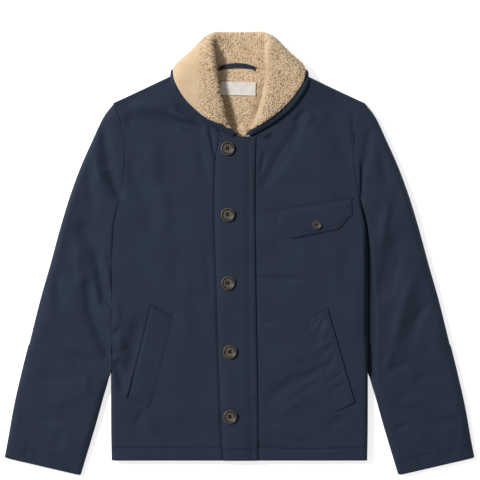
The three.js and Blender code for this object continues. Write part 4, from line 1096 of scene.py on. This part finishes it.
def strand(path, radius, sides=6):
    """Points and faces of a thread along a path, closed at both ends."""
    path = np.asarray(path, float)
    heading = np.gradient(path, axis=0)
    heading /= np.linalg.norm(heading, axis=1, keepdims=True)
    sideways = np.cross(heading, (0, 0, 1.0))
    sideways /= np.linalg.norm(sideways, axis=1, keepdims=True)
    upward = np.cross(sideways, heading)
    points, faces = [], []
    for k, (p, u, v) in enumerate(zip(path, sideways, upward)):
        r = radius * (0.45 if k in (0, len(path) - 1) else 1)
        for j in range(sides):
            angle = math.tau * j / sides
            points.append(p + r * (u * math.cos(angle) + v * math.sin(angle)))
    for k in range(len(path) - 1):
        for j in range(sides):
            n = (j + 1) % sides
            faces.append((k * sides + j, k * sides + n, (k + 1) * sides + n, (k + 1) * sides + j))
    faces.append(tuple(range(sides))[::-1])
    faces.append(tuple((len(path) - 1) * sides + j for j in range(sides)))
    return points, faces


def plain_copy(made, name):
    """The finished result of an object's modifiers, as a mesh of its own."""
    bpy.context.view_layer.update()
    graph = bpy.context.evaluated_depsgraph_get()
    mesh = bpy.data.meshes.new_from_object(made.evaluated_get(graph), depsgraph=graph)
    mesh.name = name
    done = placed(name, mesh)
    bpy.data.objects.remove(made)
    return done


def sewn_button(name, x, y, z, size):
    radius, height, hole, apart = size
    made = turned(name + "_blank", x, y, z, radius, height)
    cutter = drills(x, y, z, hole, apart)
    cut = made.modifiers.new("holes", "BOOLEAN")
    cut.operation = "DIFFERENCE"
    cut.solver = "EXACT"
    cut.object = cutter
    made = plain_copy(made, name + "_turned")
    bpy.data.objects.remove(cutter)
    dress(made, name)
    points, faces = [], []
    reach = apart / math.sqrt(2)
    top = z + 0.57 * height
    for k, (ax, ay) in enumerate(((1, 1), (1, -1))):
        for shift in (-0.28, 0.28):
            line = []
            for t in np.linspace(-1, 1, 9):
                bow = math.cos(t * math.pi / 2)
                rise = 0.55 * bow**0.5 + 0.35 * k * bow if abs(t) < 1 else -1.2
                line.append((x + ax * t * reach - ay * shift, y + ay * t * reach + ax * shift, top + rise))
            more, sides = strand(line, 0.3)
            faces += [tuple(i + len(points) for i in face) for face in sides]
            points += more
    dress(plain_mesh(name + "_thread", points, faces, THREAD_WITH_PAINTED_SHADE))


for name, x, y in BUTTONS:
    sewn_button(name, x, y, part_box(name)[0][2] / MM, BUTTON)
sewn_button("pocket_button", 135, 50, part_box("pocket_button")[0][2] / MM, POCKET_BUTTON)

# Hanger loop: a narrow navy tape at the back of the neck that bows up a little from the lining. Its
# two ends are sewn in under the collar seam.
TAPE_ENDS = (-36, 28)
TAPE_PLACE = (321.4, 21.4)  # y and height of both ends
TAPE_BOW = 7.3
TAPE_WIDTH = 7.2
TAPE_THICKNESS = 2.2
share = np.linspace(0, 1, 61)
arch = np.sin(math.pi * share) ** 0.7
centre = np.stack([mix(*TAPE_ENDS, share), TAPE_PLACE[0] + TAPE_BOW * arch,
                   TAPE_PLACE[1] + TAPE_THICKNESS * arch], -1)
widthwise = np.array([-0.5, -0.46, -0.4, -0.3, 0, 0.3, 0.4, 0.46, 0.5])
thick = np.array([0.12, 0.28, 0.38, 0.44, 0.46, 0.44, 0.38, 0.28, 0.12])
all_along = lambda values: np.broadcast_to(values, (61, 9))
tape = lambda way: centre[:, None] + raise_to(all_along(0.0), all_along(widthwise * TAPE_WIDTH),
                                              all_along(way * thick * TAPE_THICKNESS))
tape_uv = np.stack([all_along(share[:, None] * 66), all_along(widthwise * 6)], -1)
hanger_loop = wall("hanger_loop_tape", tape(1), tape(-1), tape_uv, [NAVY])
dress(hanger_loop, "hanger_loop")

# Neck label: a bare woven label of off-white thread that lies on the lining below the loop. Its weave
# shows from close by, and its long edges lift a little.
woven = Finish("woven_label", Sheen_Weight=0.25, Specular_IOR_Level=0.3)
place = woven.node("UVMap", {"uv_map": "cloth"})
split = woven.node("SeparateXYZ", sockets={"Vector": place})
weft = (split.output("Y") * (math.tau / 0.0005)).sine()
warp = (split * (math.tau / 0.0007)).sine()
stain = woven.noise(place, 90.0, 3.0)
woven.feed(Base_Color=woven.tint(stain * 0.8 + weft * 0.12, colour(210, 202, 195), colour(236, 230, 223)),
           Roughness=stain * 0.15 + 0.65, Normal=woven.bump(weft * 0.6 + warp * 0.4, 0.4, 0.00012))
WOVEN = woven.material
cx, cy = np.meshgrid(np.linspace(-0.5, 0.5, 63), np.linspace(-0.5, 0.5, 25))
x = LABEL_CENTRE[0] + cx * LABEL_LENGTH - cy * LABEL_WIDTH * LABEL_TILT
y = LABEL_CENTRE[1] + cy * LABEL_WIDTH + cx * LABEL_LENGTH * LABEL_TILT
base = back_top(0 * y, y) + LINING_GAP + LINING_LOFT + SEAM
wave = 0.35 * np.sin(cx * 17 + 1) * np.sin(cy * 5 + 2) + 0.5 * smooth(np.abs(cy), 0.3, 0.5)
outer = raise_to(x, y, base + LABEL_THICKNESS + np.maximum(wave, -0.2))
inner = raise_to(x, y, base + np.maximum(wave, -0.2))
label_uv = np.stack([cx * LABEL_LENGTH, cy * LABEL_WIDTH], -1)
neck_label = wall("neck_label_woven", outer, inner, label_uv, [WOVEN])
dress(neck_label, "neck_label")

# Stitching: rows of lockstitch along each seam that shows, in near-black thread where the seam reads as a dark
# line, which paints the shade of the seam's groove into the thread, and in thread of the cloth's colour
# elsewhere. One tree of nodes sets a stitch at every pitch of a path.
def stitch_tree():
    tree = bpy.data.node_groups.new("row_of_stitches", "GeometryNodeTree")
    tree.interface.new_socket("Path", in_out="INPUT", socket_type="NodeSocketGeometry")
    for name in ("Pitch", "Length", "Width", "Turn"):
        tree.interface.new_socket(name, in_out="INPUT", socket_type="NodeSocketFloat")
    tree.interface.new_socket("Thread", in_out="INPUT", socket_type="NodeSocketMaterial")
    tree.interface.new_socket("Stitches", in_out="OUTPUT", socket_type="NodeSocketGeometry")

    def add(kind, settings=None, inputs=None):
        """A node whose inputs are numbers or the sockets of other nodes."""
        made = tree.nodes.new(kind)
        for key, value in (settings or {}).items():
            setattr(made, key, value)
        for key, value in (inputs or {}).items():
            if isinstance(value, bpy.types.NodeSocket):
                tree.links.new(value, made.inputs[key])
            else:
                made.inputs[key].default_value = value
        return made.outputs

    given = add("NodeGroupInput")
    curve = add("GeometryNodeMeshToCurve", inputs={"Mesh": given["Path"]})
    even = add("GeometryNodeResampleCurve", {"mode": "LENGTH"}, {"Curve": curve[0], "Length": given["Pitch"]})
    stitch = add("GeometryNodeMeshUVSphere", inputs={"Segments": 6, "Rings": 4, "Radius": 0.5})
    size = add("ShaderNodeCombineXYZ",
               inputs={"X": given["Length"], "Y": given["Width"], "Z": given["Width"]})
    tangent = add("GeometryNodeInputTangent")
    align = add("FunctionNodeAlignRotationToVector", {"axis": "X"}, {"Vector": tangent[0]})
    loose = add("FunctionNodeRandomValue", {"data_type": "FLOAT"}, {2: -0.08, 3: 0.08, "Seed": 3})
    total = add("ShaderNodeMath", inputs={0: given["Turn"], 1: loose[1]})
    angles = add("ShaderNodeCombineXYZ", inputs={"Z": total[0]})
    spin = add("FunctionNodeEulerToRotation", inputs={0: angles[0]})
    turn = add("FunctionNodeRotateRotation", {"rotation_space": "LOCAL"},
               {"Rotation": align[0], "Rotate By": spin[0]})
    place = add("GeometryNodeInstanceOnPoints", inputs={"Points": even[0], "Instance": stitch["Mesh"],
                                                        "Rotation": turn[0], "Scale": size[0]})
    real = add("GeometryNodeRealizeInstances", inputs={0: place[0]})
    paint = add("GeometryNodeSetMaterial", inputs={"Geometry": real[0], "Material": given["Thread"]})
    add("NodeGroupOutput", inputs={"Stitches": paint[0]})
    return tree


STITCHES = stitch_tree()


def stitched(name, paths, pitch=3.1, length=2.7, width=0.8, turn=0.0, finish=None):
    """Stitches along paths of points, each path a list of millimetre points on the cloth."""
    points, edges = [], []
    for path in paths:
        start = len(points)
        points += [tuple(c * MM for c in point) for point in path]
        edges += [(k, k + 1) for k in range(start, len(points) - 1)]
    mesh = bpy.data.meshes.new(name + "_path")
    mesh.from_pydata(points, edges, [])
    made = placed(name + "_path", mesh)
    rows = made.modifiers.new("stitches", "NODES")
    rows.node_group = STITCHES
    inputs = {"Pitch": pitch * MM, "Length": length * MM, "Width": width * MM, "Turn": turn,
              "Thread": finish or THREAD_WITH_PAINTED_SHADE}
    for item in STITCHES.interface.items_tree:
        if item.item_type == "SOCKET" and item.in_out == "INPUT" and item.name in inputs:
            rows[item.identifier] = inputs[item.name]
    made = plain_copy(made, name)
    made.data.polygons.foreach_set("use_smooth", np.ones(len(made.data.polygons), bool))
    dress(made)


def points_at(x, y, z):
    return np.column_stack([x, y, z]).tolist()


def on_front(path, raised=0.1):
    """A plan path, set out every few millimetres on the front panels."""
    line = []
    for (x0, y0), (x1, y1) in zip(path[:-1], path[1:]):
        count = max(int(math.hypot(x1 - x0, y1 - y0) / 4), 1)
        line += [(mix(x0, x1, k / count), mix(y0, y1, k / count)) for k in range(count)]
    line.append(path[-1])
    x, y = np.array(line, float).T
    return points_at(x, y, front_top(x, y) + raised)


front_seams = [on_front(HEM_RIGHT), on_front(HEM_LEFT)]
for side in (-1, 1):
    arm = np.linspace(112, 258, 40)
    front_seams.append(on_front([(side * (float(side_x(np.array(v))) - 0.3), v) for v in arm], 0.3))
    shoulder = [(side * mix(NECK_POINT[0], SHOULDER[0], t), mix(NECK_POINT[1], SHOULDER[1], t) - 6)
                for t in np.linspace(0.12, 0.97, 30)]
    front_seams.append(on_front(shoulder))
stitched("front_seam_stitches", front_seams)


def over_placket(x, y, raised=0.1):
    return points_at(x, y, front_top(x, y) + STRIP_GAP + placket_height(x, y) + raised)


def on_placket(from_right):
    y = np.arange(HEM_Y + 3, PLACKET_TOP_Y - 3, 4.0)
    return over_placket(placket_lines(y)[1] - from_right, y)


def across_placket(y, start, end):
    left, right = placket_lines(np.array([float(y)]))
    x = np.arange(left[0] + start, right[0] - end, 3.0)
    return over_placket(x, np.full_like(x, y))


placket_rows = [on_placket(from_right) for from_right in (11.2, 6.9, 2.1)]
placket_rows += [across_placket(PLACKET_TOP_Y - 3, 3, 10), across_placket(PLACKET_TOP_Y - 9, 4, 11),
                 across_placket(HEM_Y + HEM_DEPTH, 4, 11)]
stitched("placket_stitches", placket_rows)
# A close row of wide near-black stitches laid on the front just outside the placket's free edge: painted
# shadow line of that edge.
y = np.arange(HEM_Y + 3, PLACKET_TOP_Y, 4.0)
x = placket_lines(y)[0] - 0.8
stitched("placket_edge_painted_shadow", [points_at(x, y, front_top(x, y) + 0.5)], 2.6, 2.8, 1.3)


def on_flap(path):
    x, y = np.array(path, float).T
    to_rim, _ = near(x, y, rim_line)
    to_seam, _ = near(x, y, FLAP_LINE)
    edge = np.minimum(mix(0.6, 1, smooth(to_rim, 0, 12)), mix(0.25, 1, smooth(to_seam, 0, 8)))
    return points_at(x, y, front_top(x, y) + STRIP_GAP + FLAP_THICKNESS * mix(0.2, 1, edge) - 0.2)


def inset(path, distance):
    """A path moved sideways, to the right of its run."""
    path = np.array(path, float)
    heading = np.gradient(path, axis=0)
    heading /= np.linalg.norm(heading, axis=1, keepdims=True)
    return path + np.column_stack([heading[:, 1], -heading[:, 0]]) * -distance


share = np.linspace(0, 1, 60)
flap_edge = np.column_stack([mix(FLAP[0], FLAP[2], share), mix(FLAP[1], FLAP[3], share) - flap_drop(share)])
flap_rows = [on_flap(inset(flap_edge, distance)[2:-2]) for distance in FLAP_ROWS]
seam_line = np.column_stack([mix(FLAP[0] + 2, FLAP[2] - 2, share), mix(FLAP[1], FLAP[3], share) - 2.4])
flap_rows.append(on_flap(seam_line))
stitched("flap_stitches", [flap_rows[0], flap_rows[2]], 2.8, 2.2)
stitched("flap_inner_stitches", [flap_rows[1]], 2.8, 2.2, finish=MATCHED_THREAD)
flap_tacks = [on_front([(62, 72.7), (69, 73.9)], 2.6), on_front([(192, 94.2), (199, 95.4)], 2.6)]
stitched("flap_tacks", flap_tacks, 0.75, 2.4, 0.6, math.pi / 2, MATCHED_THREAD)
neck_tacks = [on_front([(41, 202), (56, 210.5)], 0.5), on_front([(46, 200.5), (55, 205.6)], 0.5)]
stitched("neck_tacks", neck_tacks, 0.75, 2.6, 0.7, math.pi / 2)


def on_welt(mouth, inside, down, across):
    x, y = on_strip(mouth, inside, down, across)
    z = front_top(x, y) + STRIP_GAP + CREASE_DEPTH * 0.6 * creases(x, y, PUCKERS) + welt_height(across) - 0.2
    return points_at(x, y, z)


welt_rows, end_rows = [], []
for mouth, inside in WELTS.values():
    down = np.linspace(0.015, 0.985, 50)
    wide = np.linspace(0.06, 0.94, 14)
    welt_rows.append(on_welt(mouth, inside, down, np.full(50, WELT_ROWS[0] / WELT_WIDTH)))
    welt_rows.append(on_welt(mouth, inside, down, np.full(50, 1 - WELT_ROWS[1] / WELT_WIDTH)))
    top_row = on_welt(mouth, inside, np.full(14, 1.6 / WELT_LENGTH), wide)
    (end_rows if mouth[0][0] < 0 else welt_rows).append(top_row)
    welt_rows.append(on_welt(mouth, inside, np.full(14, 1 - WELT_ROWS[2] / WELT_LENGTH), wide))
stitched("welt_stitches", welt_rows, 2.8, 2.2, finish=MATCHED_THREAD)
# The top row of the welt on the wearer's right is near-black and wide: stitches that also paint the dark line
# of shade at that end.
stitched("welt_top_painted_shade_stitches", end_rows, 2.4, 2.6, 1)

cuff_rows = []
for side in (-1, 1):
    s = np.full(70, 11.35)
    across = np.linspace(0.03, 0.97, 70)
    for below in (False, True):
        cuff_rows.append((sleeve_face(side, s, across, np.full(70, below)) + (0, 0, 0.1)).tolist())
stitched("cuff_stitches", cuff_rows)

x = np.arange(-212, 213, 4.0)
y = np.linspace(112, 250, 40)
back_plans = [(x, np.full_like(x, HEM_Y + HEM_DEPTH)), (12 - side_x(y), y), (side_x(y) - 12, y)]
stitched("back_stitches", [points_at(x, y, back_under(x, y) + 0.2) for x, y in back_plans])

points, normal, thickness, *_ = collar_surface(201, np.linspace(0, 1, 61), 0.88)
line = points[:, -1] + normal[:, -1] * (COLLAR_SHELL + RIM_HEIGHT * 0.66 * thickness + 0.1)
stitched("rim_stitches", [line[8:-8].tolist()], 3.0, 2.3, finish=MATCHED_THREAD)

# Buttonholes: a slot in the placket to the right of each front button, pulled shut by it. Each is
# bound all round with close stitches.
holes = []
for _, bx, by in BUTTONS:
    start, end = bx + 2, bx + 15
    loop = [(start, by + 1.0), (end, by + 1.0), (end + 0.8, by), (end, by - 1.0), (start, by - 1.0)]
    x, y = (np.concatenate([np.linspace(a[k], b[k], 6)[:-1] for a, b in zip(loop[:-1], loop[1:])])
            for k in (0, 1))
    holes.append(over_placket(x, y, 0.15))
stitched("buttonhole_stitches", holes, 0.7, 1.7, 0.62, math.pi / 2)

# Floor, light and camera: a white table seen from straight above, with soft daylight from the upper
# left and a faint even light from all round.
floor_finish = Finish("white_table", Roughness=0.9, Specular_IOR_Level=0.1, Emission_Color=(1, 1, 1, 1),
                      Emission_Strength=0.7)
grain = floor_finish.noise(floor_finish.body(), 3.0, 3.0)
floor_finish.feed(Base_Color=floor_finish.tint(grain, (0.84, 0.84, 0.84, 1), (0.87, 0.87, 0.87, 1)))
mesh = bpy.data.meshes.new("floor")
mesh.from_pydata([(-6, -6, -0.0005), (6, -6, -0.0005), (6, 6, -0.0005), (-6, 6, -0.0005)], [], [(0, 1, 2, 3)])
mesh.materials.append(floor_finish.material)
placed("floor", mesh)

world = bpy.data.worlds.new("daylight")
world.use_nodes = True
world.node_tree.nodes["Background"].inputs["Color"].default_value = (1, 1, 1, 1)
world.node_tree.nodes["Background"].inputs["Strength"].default_value = 0.28
bpy.context.scene.world = world

window = bpy.data.lights.new("window", "AREA")
window.shape = "DISK"
window.size = 1.1
window.energy = 315
window = placed("window", window)
window.location = (-3.3, 1.8, 4.0)
window.rotation_euler = (-Vector(window.location)).to_track_quat("-Z", "Y").to_euler()

FRAME_WIDTH = 0.84  # metres of table across the photograph
FRAME_CENTRE = (0.0009, 0.0236)
LENS = 180
SENSOR_WIDTH = 36
camera_data = bpy.data.cameras.new("camera")
camera_data.sensor_width = SENSOR_WIDTH
camera_data.lens = LENS
camera = placed("camera", camera_data)
camera.location = (*FRAME_CENTRE, FRAME_WIDTH * LENS / SENSOR_WIDTH + 0.01)
bpy.context.scene.camera = camera
bpy.context.scene.view_settings.view_transform = "Standard"
bpy.context.scene.view_settings.look = "None"
